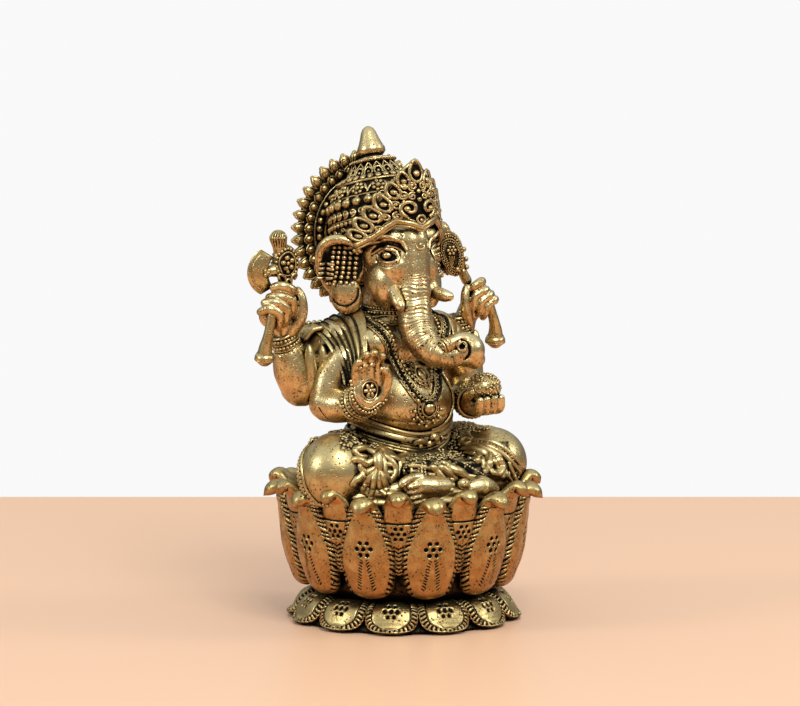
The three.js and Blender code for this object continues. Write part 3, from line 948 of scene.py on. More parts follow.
# ------------------------------------------------------------------------------------------------ body
@dataclass
class Torso:
    """The round belly, the chest and the neck, with the sash, its clasp, a cord and the necklaces."""

    sash: Line = (
        (0, -8, 37.6), (7.4, -5.4, 39.2), (11.4, 2.6, 41.2), (7.4, 12.6, 42), (-7.4, 12.6, 42),
        (-11.4, 2.6, 41.2),
        (-7.4, -5.4, 39.2),
    )
    cord: Line = (
        (8.4, 1, 62), (8.6, -4.4, 57), (7.6, -6.6, 51), (8.4, -6.4, 45), (6.6, -7.8, 40.6), (2.4, -9.6, 38.6),
    )
    band: Line = (
        (7.4, 9.4, 63), (8.4, 2.0, 64), (8.2, -2.4, 61.6), (6.4, -7.2, 58), (4.9, -9.6, 52.5),
        (2.4, -10.8, 47.4),
        (0, -11.4, 46.2), (-2.4, -10.8, 47.4), (-4.9, -9.6, 52.5), (-6.4, -7.2, 58), (-8.2, -2.4, 61.6),
        (-8.4, 2.0, 64), (-7.4, 9.4, 63), (0, 13.4, 61.6),
    )
    chain: Line = (
        (6.2, -0.8, 63.4), (5.6, -5.4, 60.6), (4.3, -8, 57), (2.9, -9.6, 53.4), (1.6, -10, 51.9),
        (-1.6, -10, 51.9),
        (-2.9, -9.6, 53.4), (-4.3, -8, 57), (-5.6, -5.4, 60.6), (-6.2, -0.8, 63.4),
    )

    def build(self) -> None:
        """Makes the torso and all that lies on it."""
        form = Casting()
        form.ball((0, 2, 45), (10.6, 12, 9.4), fine=5)
        form.ball((0, 5, 56), (12.2, 8.6, 8), fine=5)
        form.ball((0, 3.4, 34), (11, 10.4, 10.2), fine=5)
        for side in (-1, 1):
            form.ball((side * 6.4, -0.4, 57.6), (4.8, 4.5, 4.0), fine=4)
            form.ball((side * 11.2, 6.4, 57.2), (4.6, 4.8, 4.8), fine=4)
        form.tube([(0, 4.8, 60), (0, 4.6, 67)], 6.2, 24)
        body = form.fuse(0.3, 6)
        body.carve(self._creases)
        skin = Skin(body)
        body.piece("belly_and_chest", Finish.SKIN, "torso")
        self._sash(skin)
        self._necklaces(skin)

    def _creases(self, points: Array) -> Pair:
        """The folds under the breasts, the navel, and the line of the spine."""
        x, y, z = points.T
        fold = fade(0.1, 0.75, np.abs(z - 52.9 - 0.03 * x**2)) * fade(-3, 1, y)
        fold *= fade(8.5, 10.5, np.abs(x))
        waist = fade(0.1, 0.5, np.abs(z - 41.9 - 0.012 * x**2 - 0.04 * x)) * fade(0, 5, y)
        navel = fade(0.3, 1.1, np.sqrt((x - 0.2) ** 2 + (z - 42.4) ** 2)) + (y > 0)
        back = fade(0.2, 1.6, np.abs(x)) * smoothstep(8, 11, y) * smoothstep(42, 45, z)
        navel = np.clip(navel * (y < 0), 0, 1)
        lift = -0.45 * fold - 0.10 * waist - 0.7 * navel - 0.5 * back
        return lift, 0.6 * fold + 0.12 * waist + 0.6 * navel + 0.2 * back

    def _sash(self, skin: Skin) -> None:
        """Folds of cloth wound round the waist, and the clasp in front."""
        sash = Casting()
        line = route(self.sash, 16, closed=True)
        base = [skin.near(spot, 0.15) for spot in line]
        sash.tube(base, 1.75, 10, 0.35, None, closed=True, stain=0.5)
        for k in range(7):
            shift = Vector((0, 0, 1.7 - 0.72 * k))
            fold = [skin.near(spot + shift, 0.55 + 0.08 * (k % 2)) for spot in line]
            sash.tube(fold, 0.34 if k % 2 else 0.42, 8, closed=True)
        tail = Casting()
        for k in range(4):
            hem = route(
                [
                    (-1.2 + 0.8 * k, 12.6, 41), (-1.4 + 0.95 * k, 14.2, 36), (-1.8 + 1.2 * k, 14.6, 30),
                    (-2 + 1.4 * k, 15, 26),
                ],
                8,
            )
            tail.tube(hem, [0.5, 0.6, 0.7, 0.6], 8)
        sash.add(tail)
        sash.bar([(-1.8, 12.6, 41.6), (0, 13.4, 41.9), (1.8, 12.6, 41.6)], 6, 1.0, 10)
        sash.piece("wound_sash", Finish.CLOTH, "waist_sash")

        clasp = Casting()
        place = skin.patch((0.6, -10, 37.9), (0.3, 0.95, 0))
        for spot, radius, girth, bead in (((-2.3, 0.2), 1.25, 0.42, 0.3), ((2.5, 0.2), 1.05, 0.4, 0.28)):
            clasp.add(eyelet(radius, girth, bead), laid(place, spot, lift=2.1))
        for (x, y), size in (
            ((0.3, -0.3), 1.35), ((-0.7, -1.3), 0.75), ((1.0, -1.3), 0.6), ((0.2, 0.9), 0.6),
            ((-2.4, -1.6), 0.5),
        ):
            clasp.ball(place(Vector((x, y, 2.0))), (size, size * 0.8, size * 0.9), fine=3)
        for x, y in ((-0.4, 0.0), (0.8, 0.1)):
            clasp.ball(place(Vector((x, y, 3.0))), 0.32, fine=2, stain=1.0)
        clasp.piece("clasp_and_bow", Finish.ORNAMENT, "sash_knot")

    def _necklaces(self, skin: Skin) -> None:
        """An openwork band with a large pendant, a bead chain with a boss, a neck collar and a long cord."""
        jewels = Casting()
        line = route(self.band, 14, closed=True)
        spots = [skin.near(spot, 0.12) for spot in line]
        jewels.tube(spots, 1.15, 8, 0.25, None, closed=True, stain=0.95)
        rungs = spaced(spots, 0.92)
        for i, spot in enumerate(rungs[:-1]):
            normal = skin.facing(spot)
            ahead = (rungs[i + 1] - spot).normalized()
            across = normal.cross(ahead).normalized()
            for row, offset in enumerate((-0.42, 0.42)):
                middle = spot + across * offset + ahead * (0.46 * row) + normal * 0.38
                loop = [
                    middle + (across * math.cos(a) + ahead * math.sin(a)) * 0.40
                    for a in np.linspace(0, TURN, 9)
                ]
                jewels.tube(loop, 0.13, 5, 1.0, tuple(normal), closed=True)
            if i % 3 == 0:
                jewels.ball(spot + normal * 0.5, 0.27, fine=1)
        for offset in (-0.98, 0.98):
            edge = []
            for i, spot in enumerate(spots):
                normal = skin.facing(spot)
                ahead = (spots[min(i + 1, len(spots) - 1)] - spots[max(i - 1, 0)]).normalized()
                edge.append(skin.near(spot + normal.cross(ahead).normalized() * offset, 0.38))
            edge[-1] = edge[0].copy()
            jewels.tube(edge, 0.20, 6, closed=True)

        inner = skin.run(self.chain, 12, 0.35)
        jewels.beads(inner, 0.44, 0.98)
        outer = [skin.near(spot + Vector((0.9 if spot.x > 0 else -0.9, 0, -0.5)), 0.3) for spot in inner]
        jewels.tube(outer[:48], 0.22, 6)
        jewels.tube(outer[-48:], 0.22, 6)
        for level, radius, bead in ((63.4, 7.0, 0.42), (64.3, 6.7, 0.34), (62.3, 7.5, 0.36)):
            count = round(TURN * radius / (bead * 2.1))
            for turn in around(count):
                spot = turn @ Vector((0, -radius, 0)) + Vector((0, 4.6, level))
                jewels.ball(skin.near(spot, bead * 0.7), bead, fine=1)
            ring = [
                skin.near(turn @ Vector((0, -radius, 0)) + Vector((0, 4.6, level - 0.5)), 0.25)
                for turn in around(48)
            ]
            jewels.tube(ring + [ring[0]], 0.17, 6, closed=True)

        small = skin.patch((-0.1, -10, 50.9), (0, 1, 0.05))
        self._pendant(jewels, small, 1.55, 12)
        large = skin.patch((0, -11, 44.7), (0, 1, 0.05))
        self._pendant(jewels, large, 2.05, 14)
        for k in range(-3, 4):
            angle = math.radians(-90 + 27 * k)
            for reach, size in ((3.0, 0.46), (3.75, 0.34 + 0.14 * (k % 2 == 0))):
                jewels.ball(large(polar(reach, angle, 0.35)), size)
        for side in (-1, 1):
            for k in range(3):
                spot = large(Vector((side * (2.3 + 0.75 * k), 1.6 + 1.1 * k, 0.45)))
                jewels.ball(spot, 0.62 - 0.08 * k)
        cord = skin.run(self.cord, 12, 0.3)
        jewels.tube(cord, 0.30, 8)
        jewels.beads(cord, 0.36, 1.9)
        jewels.piece("necklaces", Finish.ORNAMENT, "garland", hollows=1.6)

    def _pendant(self, metal: Casting, place: Place, radius: float, count: int) -> None:
        """A boss in a ring, with a rim of beads."""
        back = Casting()
        back.ball((0, 0, -0.1), (radius * 1.25, radius * 1.25, 0.5), fine=4, stain=0.8)
        metal.add(back, place)
        face = Casting()
        face.ball((0, 0, 0.5), (radius * 0.55, radius * 0.55, 0.75), fine=3)
        face.ring((0, 0, 0.55), radius * 0.78, 0.2, 24)
        face.ring((0, 0, 0.3), radius * 1.12, 0.17, 28)
        for i in range(count):
            angle = TURN * i / count
            face.ball((radius * math.cos(angle) * 1.0, radius * math.sin(angle), 0.5), 0.24, fine=1)
            face.ball((radius * math.cos(angle) * 1.38, radius * math.sin(angle) * 1.38, 0.2), 0.27, fine=1)
        metal.add(face, place)


@dataclass
class Legs:
    """The crossed legs in their patterned cloth: thighs, a lap of granules, shins, cuffs and bare feet.

    The ornament is pressed on from the figure's right front. Its tables hold places across and up as seen from
    there, most of them in strands, each a line and its girth.
    """

    press: Vector = field(default_factory=lambda: Vector((0.4939, 0.8554, -0.1564)))
    granule: float = 0.30
    grains_per_area: float = 4.2
    right_knee: Point = (-19.3, -6, 32.4)
    left_knee: Point = (17.6, -5.4, 31.4)
    grain_fields: Line = (
        (-13.1, 34.4, -5.4, 37.9), (0.1, 31.2, 10.4, 33.5), (7.1, 32.5, 12.5, 38.6), (20.5, 27.6, 23.6, 29.9),
    )
    fan: Sequence[Strand] = (
        ([(-5.2, 33.8), (-5.5, 32.3), (-5.2, 30.6)], 0.78),
        ([(-5.5, 30.4), (-6.8, 29.0), (-8.1, 27.6), (-8.3, 26.2), (-7.5, 25.2)], 0.5),
        ([(-5.6, 30.2), (-6.1, 28.3), (-6.3, 26.4), (-6.8, 24.6)], 0.56),
        ([(-5.0, 30.2), (-5.1, 28.3), (-4.9, 26.6), (-3.9, 25.5)], 0.5),
        ([(-4.8, 29.9), (-4.2, 28.3), (-3.7, 26.5)], 0.6),
        ([(-4.6, 33.5), (-4.1, 31.6), (-3.9, 29.7), (-3.0, 28.3)], 0.5),
        ([(-4.3, 33.3), (-3.0, 32.3), (-1.9, 30.6), (-2.2, 29.0), (-3.0, 28.3)], 0.5),
        ([(-5.8, 33.5), (-7.5, 34.3), (-9.1, 34.5), (-10.1, 34.1), (-9.5, 33.2), (-8.1, 32.9)], 0.55),
        ([(-6.3, 32.3), (-7.7, 31.5), (-8.9, 32.2), (-10.1, 32.5)], 0.6),
        ([(-6.2, 30.6), (-7.5, 29.9), (-8.6, 30.2), (-9.1, 31.1)], 0.5),
        ([(-8.6, 29.9), (-8.8, 29.0), (-9.7, 28.3), (-10.5, 27.5)], 0.62),
        ([(-3.8, 31.6), (-2.5, 31.2)], 0.36),
        ([(-3.6, 29.9), (-2.4, 29.7)], 0.36),
        ([(-3.0, 33.0), (-1.4, 32.3), (-1.0, 30.9), (-1.4, 29.2)], 0.4),
        ([(-7.2, 27.1), (-7.0, 28.1), (-6.1, 28.8)], 0.3),
    )
    fan_tips: Line = (
        (-6.8, 24.5, 0.75), (-3.7, 26.3, 0.85), (-10.1, 32.3, 0.75), (-9.6, 28.4, 0.9), (-8.2, 25.8, 0.6),
        (-3.9, 25.3, 0.6), (-3.0, 28.2, 0.6), (-9.4, 34.3, 0.6), (-10.3, 27.5, 0.7), (-5.6, 33.3, 0.7),
    )
    knee_leaves: Sequence[Strand] = (
        ([(12.4, 34.4), (14.2, 34.6), (16.1, 33.9), (17.3, 32.5), (17.5, 31.1), (16.7, 30.1)], 0.62),
        ([(12.8, 33.6), (14.6, 33.4), (16.0, 32.3), (16.3, 31.1)], 0.5),
        ([(15.8, 35.1), (17.7, 33.9), (19.4, 32.3), (20.1, 30.6), (19.3, 29.3), (18.1, 29.9)], 0.66),
        ([(17.5, 33.2), (18.7, 32.0), (19.2, 30.8)], 0.5),
        (
            [
                (12.8, 34.9), (14.6, 35.4), (16.6, 35.1), (18.5, 34.5), (20.3, 33.3), (22.2, 31.5),
                (23.6, 29.9),
            ],
            0.36,
        ),
        ([(13.5, 35.9), (15.6, 36.3), (17.7, 35.9), (19.9, 34.9), (22.2, 33.0), (23.6, 31.5)], 0.36),
        ([(20.4, 32.3), (21.0, 29.9), (21.9, 28.1)], 0.36),
        ([(21.4, 31.6), (22.2, 29.5), (23.1, 27.8)], 0.36),
        ([(11.8, 36.3), (13.0, 36.6), (13.9, 36.2)], 0.5),
        ([(11.6, 35.8), (12.8, 35.5), (13.7, 35.8)], 0.4),
    )
    knee_tips: Line = (
        (15.0, 32.3, 0.9), (17.9, 30.1, 0.8), (16.6, 30.0, 0.7), (12.1, 36.1, 0.8), (16.3, 30.8, 0.6),
        (19.3, 30.7, 0.55), (20.3, 28.7, 0.6), (14.2, 33.7, 0.5),
    )
    knee_curls: Line = ((15.5, 35.8), (17.1, 35.4), (18.8, 34.7), (20.3, 33.7), (21.8, 32.5))
    folds: Sequence[Strand] = (
        ([(5.7, 31.1), (7.4, 29.0), (9.6, 26.2)], 0.55),
        ([(7.1, 31.2), (8.8, 29.9), (10.6, 28.6)], 0.5),
        ([(8.2, 31.7), (10.6, 30.4), (12.8, 29.0), (14.9, 28.7)], 0.62),
        ([(8.8, 32.3), (11.6, 31.2), (13.7, 29.9), (15.6, 29.2)], 0.4),
    )
    pearl_lines: Sequence[Line] = (
        [(6.6, 30.3), (8.1, 28.8), (9.5, 27.1), (10.4, 25.9)],
        [(8.1, 32.3), (11.3, 31.9), (13.5, 30.9), (15.1, 29.9), (17.2, 28.5), (19.2, 26.9)],
        [(9.5, 33.8), (11.3, 33.5), (13.0, 32.9), (14.5, 32.2)],
        [(0.1, 31.5), (-0.0, 30.3), (0.1, 29.0)],
        [(2.9, 31.2), (3.0, 30.1), (3.1, 29.0)],
        [(4.2, 31.1), (4.3, 30.1), (4.5, 29.0)],
        [(-0.3, 31.5), (1.9, 31.3), (4.5, 31.1)],
    )
    cuff_lines: Sequence[Line] = (
        [(-0.3, 31.2), (1.9, 31.1), (4.6, 30.8)],
        [(-0.3, 29.0), (1.9, 29.0), (4.8, 28.9)],
        [(1.5, 31.1), (1.6, 29.0)],
        [(3.6, 31.1), (3.7, 29.0)],
    )

    def build(self) -> None:
        """Makes both sides."""
        right = self._thigh(-1, (-9, 5, 31.6), self.right_knee, (7.9, 7.7, 8.0))
        left = self._thigh(1, (9, 5, 31.4), self.left_knee, (7.4, 7.2, 7.3))
        lap = Casting()
        lap.ball((-12.2, -9.2, 31.4), (6.3, 5.6, 6.8), (0, 0, 25), fine=5)
        lap.ball((0, -7.2, 30.6), (12, 5.4, 5.2), fine=5)
        right_shin = self._shin(
            [(-17, -10, 28.6), (-10, -13.6, 27.8), (-3, -15, 27.2), (4, -15.6, 27.2)], [3.4, 3.4, 3.0, 2.6],
        )
        left_shin = self._shin(
            [
                (15.8, -9.6, 30.4), (10.4, -11.8, 30.7), (4, -13.4, 31.2), (-2.2, -14.4, 32.2),
                (-6.6, -14.9, 32.9),
            ],
            [3.8, 3.3, 2.9, 2.3, 1.9],
        )
        for cloth in (right, left, lap, left_shin):
            cloth.carve(self._ground)
        whole = Casting()
        for cloth in (right, left, lap, right_shin, left_shin):
            whole.add(cloth)
        skin = Skin(whole)
        front = skin.patch((0, 0, 0), self.press)

        right.add(lap)
        draw = random.Random(8)
        for low, bottom, high, top in self.grain_fields:
            for _ in range(int((high - low) * (top - bottom) * self.grains_per_area)):
                spot = front(Vector((draw.uniform(low, high), draw.uniform(bottom, top), 0.08)))
                if spot.y < 6:
                    right.ball(spot, self.granule * draw.uniform(0.75, 1.35), fine=1)
        for side, cloth in ((-1, right), (1, left)):
            self._crown_of_thigh(cloth, Skin(cloth), side, draw)
        self._draw_in(right, front, self.fan, self.fan_tips, 0.2)
        self._draw_in(left, front, self.knee_leaves, self.knee_tips, 0.28)
        for i, (x, y) in enumerate(self.knee_curls):
            left.add(curl(0.85, 0.24, 1.3 if i % 2 else -1.3), laid(front, (x, y), 70 * i, lift=0.25))
        self._draw_in(left_shin, front, self.folds, (), 0.15)
        for line in self.pearl_lines:
            run = [front(Vector((*spot.xy, 0.15))) for spot in route([(*spot, 0) for spot in line], 12)]
            left_shin.beads(run, 0.34, 0.72)
        self._draw_in(left_shin, front, [(line, 0.24) for line in self.cuff_lines], (), 0.1)
        self._border(right, -1, Vector(self.right_knee))
        self._border(left, 1, Vector(self.left_knee))
        right.piece("right_thigh_cloth", Finish.CLOTH, "right_thigh", hollows=1.8)
        left.piece("left_thigh_cloth", Finish.CLOTH, "left_thigh", hollows=1.8)
        right_shin.piece("right_shin_cloth", Finish.CLOTH, "right_shin")
        left_shin.piece("left_shin_cloth", Finish.CLOTH, "left_shin", hollows=1.8)
        self._feet()

    def _thigh(self, side: int, hip: Point, knee: Point, bulge: Point) -> Casting:
        """A thigh and its round knee."""
        form = Casting()
        bend = (Vector(hip) + Vector(knee)) / 2 + Vector((side * 1.2, 1, 0))
        form.bar([hip, bend, knee], 6, [7, 7.6, 7.2], 32)
        form.ball(knee, bulge, fine=5)
        return form.fuse(0.3, 5)

    def _shin(self, points: Line, radii: Point) -> Casting:
        """A folded lower leg, draped in soft folds."""

        def folds(u: Array, v: Array) -> Pair:
            wave = np.sin(TURN * (7.0 * u + 1.3 * v))
            return 0.26 * wave + 0.1 * np.sin(TURN * (11 * u - 2.2 * v)), 0.55 * smoothstep(0.55, 0.95, -wave)

        shin = Casting()
        shin.tube(route(points, 24), radii, 84, 0.96, (0, 0, 1), relief=folds)
        return shin

    def _ground(self, points: Array) -> Pair:
        """The darkened ground under the granules and the leaves."""
        x, y, z = points.T
        across = 0.8660 * x - 0.5 * y
        up = 0.9877 * z + 0.1564 * (0.5 * x + 0.866 * y)
        dark = np.zeros_like(x)
        for low, bottom, high, top in (
            *self.grain_fields, (-10.2, 24.2, -1.0, 34.2), (12.4, 29.4, 21.5, 36.0), (-0.6, 28.8, 5, 31.4),
        ):
            inside = smoothstep(low - 0.5, low + 0.2, across) * fade(high - 0.2, high + 0.5, across)
            inside = inside * smoothstep(bottom - 0.5, bottom + 0.2, up) * fade(top - 0.2, top + 0.5, up)
            dark = np.maximum(dark, inside)
        return np.zeros_like(x), 0.72 * dark * (y < 4)

    def _draw_in(
        self, metal: Casting, front: Place, strands: Sequence[Strand], tips: Line,
        lift: float,
    ) -> None:
        """Lays curled strands that swell in the middle, and round leaf tips."""
        for line, girth in strands:
            run = [front(Vector((*spot.xy, lift))) for spot in route([(*spot, 0) for spot in line], 8)]
            metal.tube(run, [girth * 1.1, girth * 1.75, girth * 1.6, girth * 1.2], 12, 0.8)
        for x, y, size in tips:
            metal.ball(front(Vector((x, y, lift))), size, fine=3)

    def _crown_of_thigh(self, metal: Casting, skin: Skin, side: int, draw: random.Random) -> None:
        """Granules and two rows of pearls over the top of a thigh, as far as the hip."""
        for _ in range(420):
            spot = skin.near((draw.uniform(3.0, 16.5) * side, draw.uniform(-6.5, 5.0), 42), 0.08)
            if spot.z > 36.2:
                metal.ball(spot, self.granule * draw.uniform(0.8, 1.3), fine=1)
        for shift in (0.0, 1.1):
            line = route(
                [
                    (side * (17.5 + shift), 6.5, 37), (side * (19.5 + shift), 2.5, 38.5),
                    (side * (20.5 + shift), -2, 38.5),
                ],
                8,
            )
            metal.beads([skin.near(spot, 0.15) for spot in line], 0.4, 0.84)

    def _border(self, metal: Casting, side: int, knee: Vector) -> None:
        """The braid down the outer side of the knee and the pearls under it."""
        skin = Skin(metal)
        outer = [(-6.2, 6.4, 8), (-7.6, 3.4, 5), (-8.2, 0.4, 1), (-7.6, -1.0, -3.4), (-5.6, -2.4, -7)]
        for k, (girth, beaded) in enumerate(
            ((0.34, False), (0.42, True), (0.30, False), (0.42, True), (0.34, False))
        ):
            path = [knee + Vector((-side * x, y + 1.0 * k, z)) for x, y, z in outer]
            line = skin.run(path, 10, 0.15)
            if beaded:
                metal.beads(line, girth, girth * 2.0)
            else:
                metal.tube(line, girth, 8)
        hem = [
            knee + Vector((math.cos(a) * 6.6 * side, -math.sin(a) * 5.8, -6.4))
            for a in np.linspace(-0.3, 2.4, 9)
        ]
        metal.beads(skin.run(hem, 8, 0.2), 0.5, 0.8)

    def _feet(self) -> None:
        """The left foot, sole out with its toes curled, and the tip of the right foot under the knee."""
        foot = Casting()
        foot.bar([(0.6, -15.6, 29.2), (-3.6, -16.6, 29.5), (-7.4, -17.2, 30.2)], 8, [2.3, 2.75, 2.5], 24)
        foot.ball((-1.0, -15.6, 29.6), (2.4, 2.2, 2.6), fine=4)
        foot.bar(
            [(-6.4, -17.4, 32.0), (-8.6, -18.0, 32.1), (-10.6, -18.4, 31.5), (-11.2, -18.4, 30.9)], 6,
            [1.2, 1.0, 0.95, 0.8], 14,
        )
        for k, reach in enumerate((9.6, 9.4, 9.0, 8.4)):
            level = 30.6 - 1.15 * k
            foot.bar(
                [(-6.0, -18.2, level + 0.2), (-7.8, -18.9, level), (-reach, -18.6, level - 0.2)], 6,
                [0.85, 0.78, 0.66], 12,
            )
        whole = foot.fuse(0.16, 2)
        skin = Skin(whole)
        for x, y, z in ((-10.9, -19.4, 31.2), (-9.4, -19.4, 30.4), (-9.2, -19.4, 29.3), (-8.8, -19.4, 28.1)):
            whole.ball(skin.near((x, y, z), 0.02), (0.3, 0.3, 0.34))
        whole.piece("left_bare_foot", Finish.SKIN, "left_foot")

        other = Casting()
        other.bar([(5.2, -15.6, 27.8), (8.4, -16.2, 28.4), (11.2, -15.4, 27.6)], 8, [2.1, 2.7, 2.2], 24)
        other.ball((4.2, -16.8, 29.6), (1.5, 1.4, 1.4), fine=4)
        for k in range(4):
            other.ball((10.8 + 0.5 * k, -16.6 + 0.9 * k, 29.0 - 0.3 * k), (0.8, 0.8, 0.8), fine=3)
        other.fuse(0.16, 2).piece("right_bare_foot", Finish.SKIN, "right_foot")


# ------------------------------------------------------------------------------------------------ arms
@dataclass
class Arms:
    """The four arms and their bangles."""

    def build(self) -> None:
        """Makes every arm."""
        for name, side, elbow, wrist in (
            ("right", -1, (-19.8, 8, 48.4), (-23, 8, 56.8)), ("left", 1, (18.6, 8, 47.8), (17.5, 8, 57.2)),
        ):
            self._rear(name, side, Vector(elbow), Vector(wrist))
        self._front(
            "right", -1, (-12.6, 2.5, 54), (-16.6, 2.6, 45.4), (-14.2, -4.6, 45.8), (-13.6, -7.2, 47.2),
        )
        self._front("left", 1, (12.4, 2.5, 54), (16, 2.3, 45.2), (13, -4.8, 44.7), (12, -7.6, 44.6))

    def _rear(self, name: str, side: int, elbow: Vector, wrist: Vector) -> None:
        """A raised arm: a thick, smooth forearm on a full elbow, and stacked bangles."""
        fore = Casting()
        lower = elbow + Vector((0, 0, 0.2))
        middle = lower.lerp(wrist, 0.45) + Vector((side * 0.5, 0, -0.2))
        fore.bar([lower, middle, wrist.lerp(lower, 0.1), wrist], 8, [4.3, 4.0, 3.2, 2.5], 32)
        fore.fuse(0.25, 3).piece(f"{name}_rear_lower_arm", Finish.SKIN, f"{name}_rear_forearm")
        upper = Casting()
        upper.bar([(side * 13, 7.5, 56.6), (side * 15.8, 7.8, 52.4), elbow], 8, [4.7, 4.5, 4.3], 32)
        for x, y, z, across, deep, tall in (
            (19.2, 4.7, 51.6, 1.5, 1.6, 6.0), (16.6, 4.0, 51.6, 1.45, 1.7, 5.8),
            (14.7, 3.6, 50.2, 0.6, 1.0, 3.0),
        ):
            upper.ball((side * x, y, z), (across, deep, tall), (0, side * 5, 0), fine=4)
        for x, y, z in ((17.6, 11.6, 52), (14.8, 12.0, 52.6)):
            upper.ball((side * x, y, z), (1.5, 1.5, 5.4), (0, side * -22, 0), fine=4)
        upper.fuse(0.25, 3).piece(f"{name}_rear_sleeve", Finish.CLOTH, f"{name}_rear_upper_arm")

        heading = (wrist - lower).normalized()
        rows = (
            (-1.5, 2.75, True), (-0.6, 2.8, True), (0.1, 2.55, False), (0.7, 2.75, True), (1.4, 2.5, False),
            (2.1, 2.7, True), (2.8, 2.45, False),
        )
        core = ((0, -1.9), (2.45, -1.9), (2.4, 3.0), (0, 3.0))
        self._bangles(f"{name}_rear", wrist, heading, rows, core, 22, 0.36, 36)

    def _bangles(
        self, name: str, at: Vector, heading: Vector, rows: Line, core: Line, beads: int, girth: float,
        steps: int,
    ) -> None:
        """Makes a stack of bangles on a dark core.

        Args:
            name: The arm's name.
            at: The middle of the stack.
            heading: The way along the arm.
            rows: Each bangle's shift along the arm, its radius, and whether it is a row of beads.
            core: The core's profile.
            beads: How many beads a row has.
            girth: How thick a plain bangle is.
            steps: Faces round a plain bangle.
        """
        stack = Casting()
        for shift, radius, beaded in rows:
            place = frame_along(at + heading * shift, heading)
            if beaded:
                for turn in around(beads):
                    stack.ball(place @ (turn @ Vector((0, -radius, 0))), 0.42)
            else:
                hoop = Casting()
                hoop.ring((0, 0, 0), radius, girth, steps)
                stack.add(hoop, place)
        inside = Casting()
        inside.turned(core, 32, stain=0.85)
        stack.add(inside, frame_along(at, heading))
        stack.piece(f"{name}_bracelets", Finish.ORNAMENT, f"{name}_bangles")

    def _elbow_crease(self, points: Array) -> Pair:
        """A slanting fold across the inside of the elbow."""
        _, y, z = points.T
        fold = fade(0.1, 0.4, np.abs(y - z * 0.5 + 22.2)) * (z < 45)
        return -0.25 * fold, 0.4 * fold

    def _front(self, name: str, side: int, shoulder: Point, elbow: Point, wrist: Point, end: Point) -> None:
        """A lowered arm, bent forward at the elbow."""
        upper = Casting()
        upper.bar([shoulder, (side * 15.4, 3.2, 50), elbow], 8, [4.1, 3.9, 3.8], 28)
        upper.fuse(0.25, 3).piece(f"{name}_front_sleeve", Finish.SKIN, f"{name}_front_upper_arm")
        fore = Casting()
        line = route(
            [elbow, (Vector(elbow) + Vector(wrist)) / 2 + Vector((side * 0.4, 0, -0.3)), wrist, end], 8,
        )
        fore.tube(line, [3.9, 3.6, 3.1, 2.5], 28)
        whole = fore.fuse(0.22, 3)
        whole.carve(self._elbow_crease)
        whole.piece(f"{name}_front_lower_arm", Finish.SKIN, f"{name}_front_forearm")

        heading = (Vector(end) - Vector(wrist)).normalized()
        rows = ((-0.8, 3.45, False), (0.0, 3.5, True), (0.8, 3.4, False), (1.5, 3.3, True), (2.2, 3.1, False))
        core = ((0, -1.1), (3.2, -1.1), (3.0, 2.4), (0, 2.4))
        self._bangles(
            f"{name}_front", Vector(wrist).lerp(Vector(end), 0.1), heading, rows, core, 28, 0.34, 40,
        )


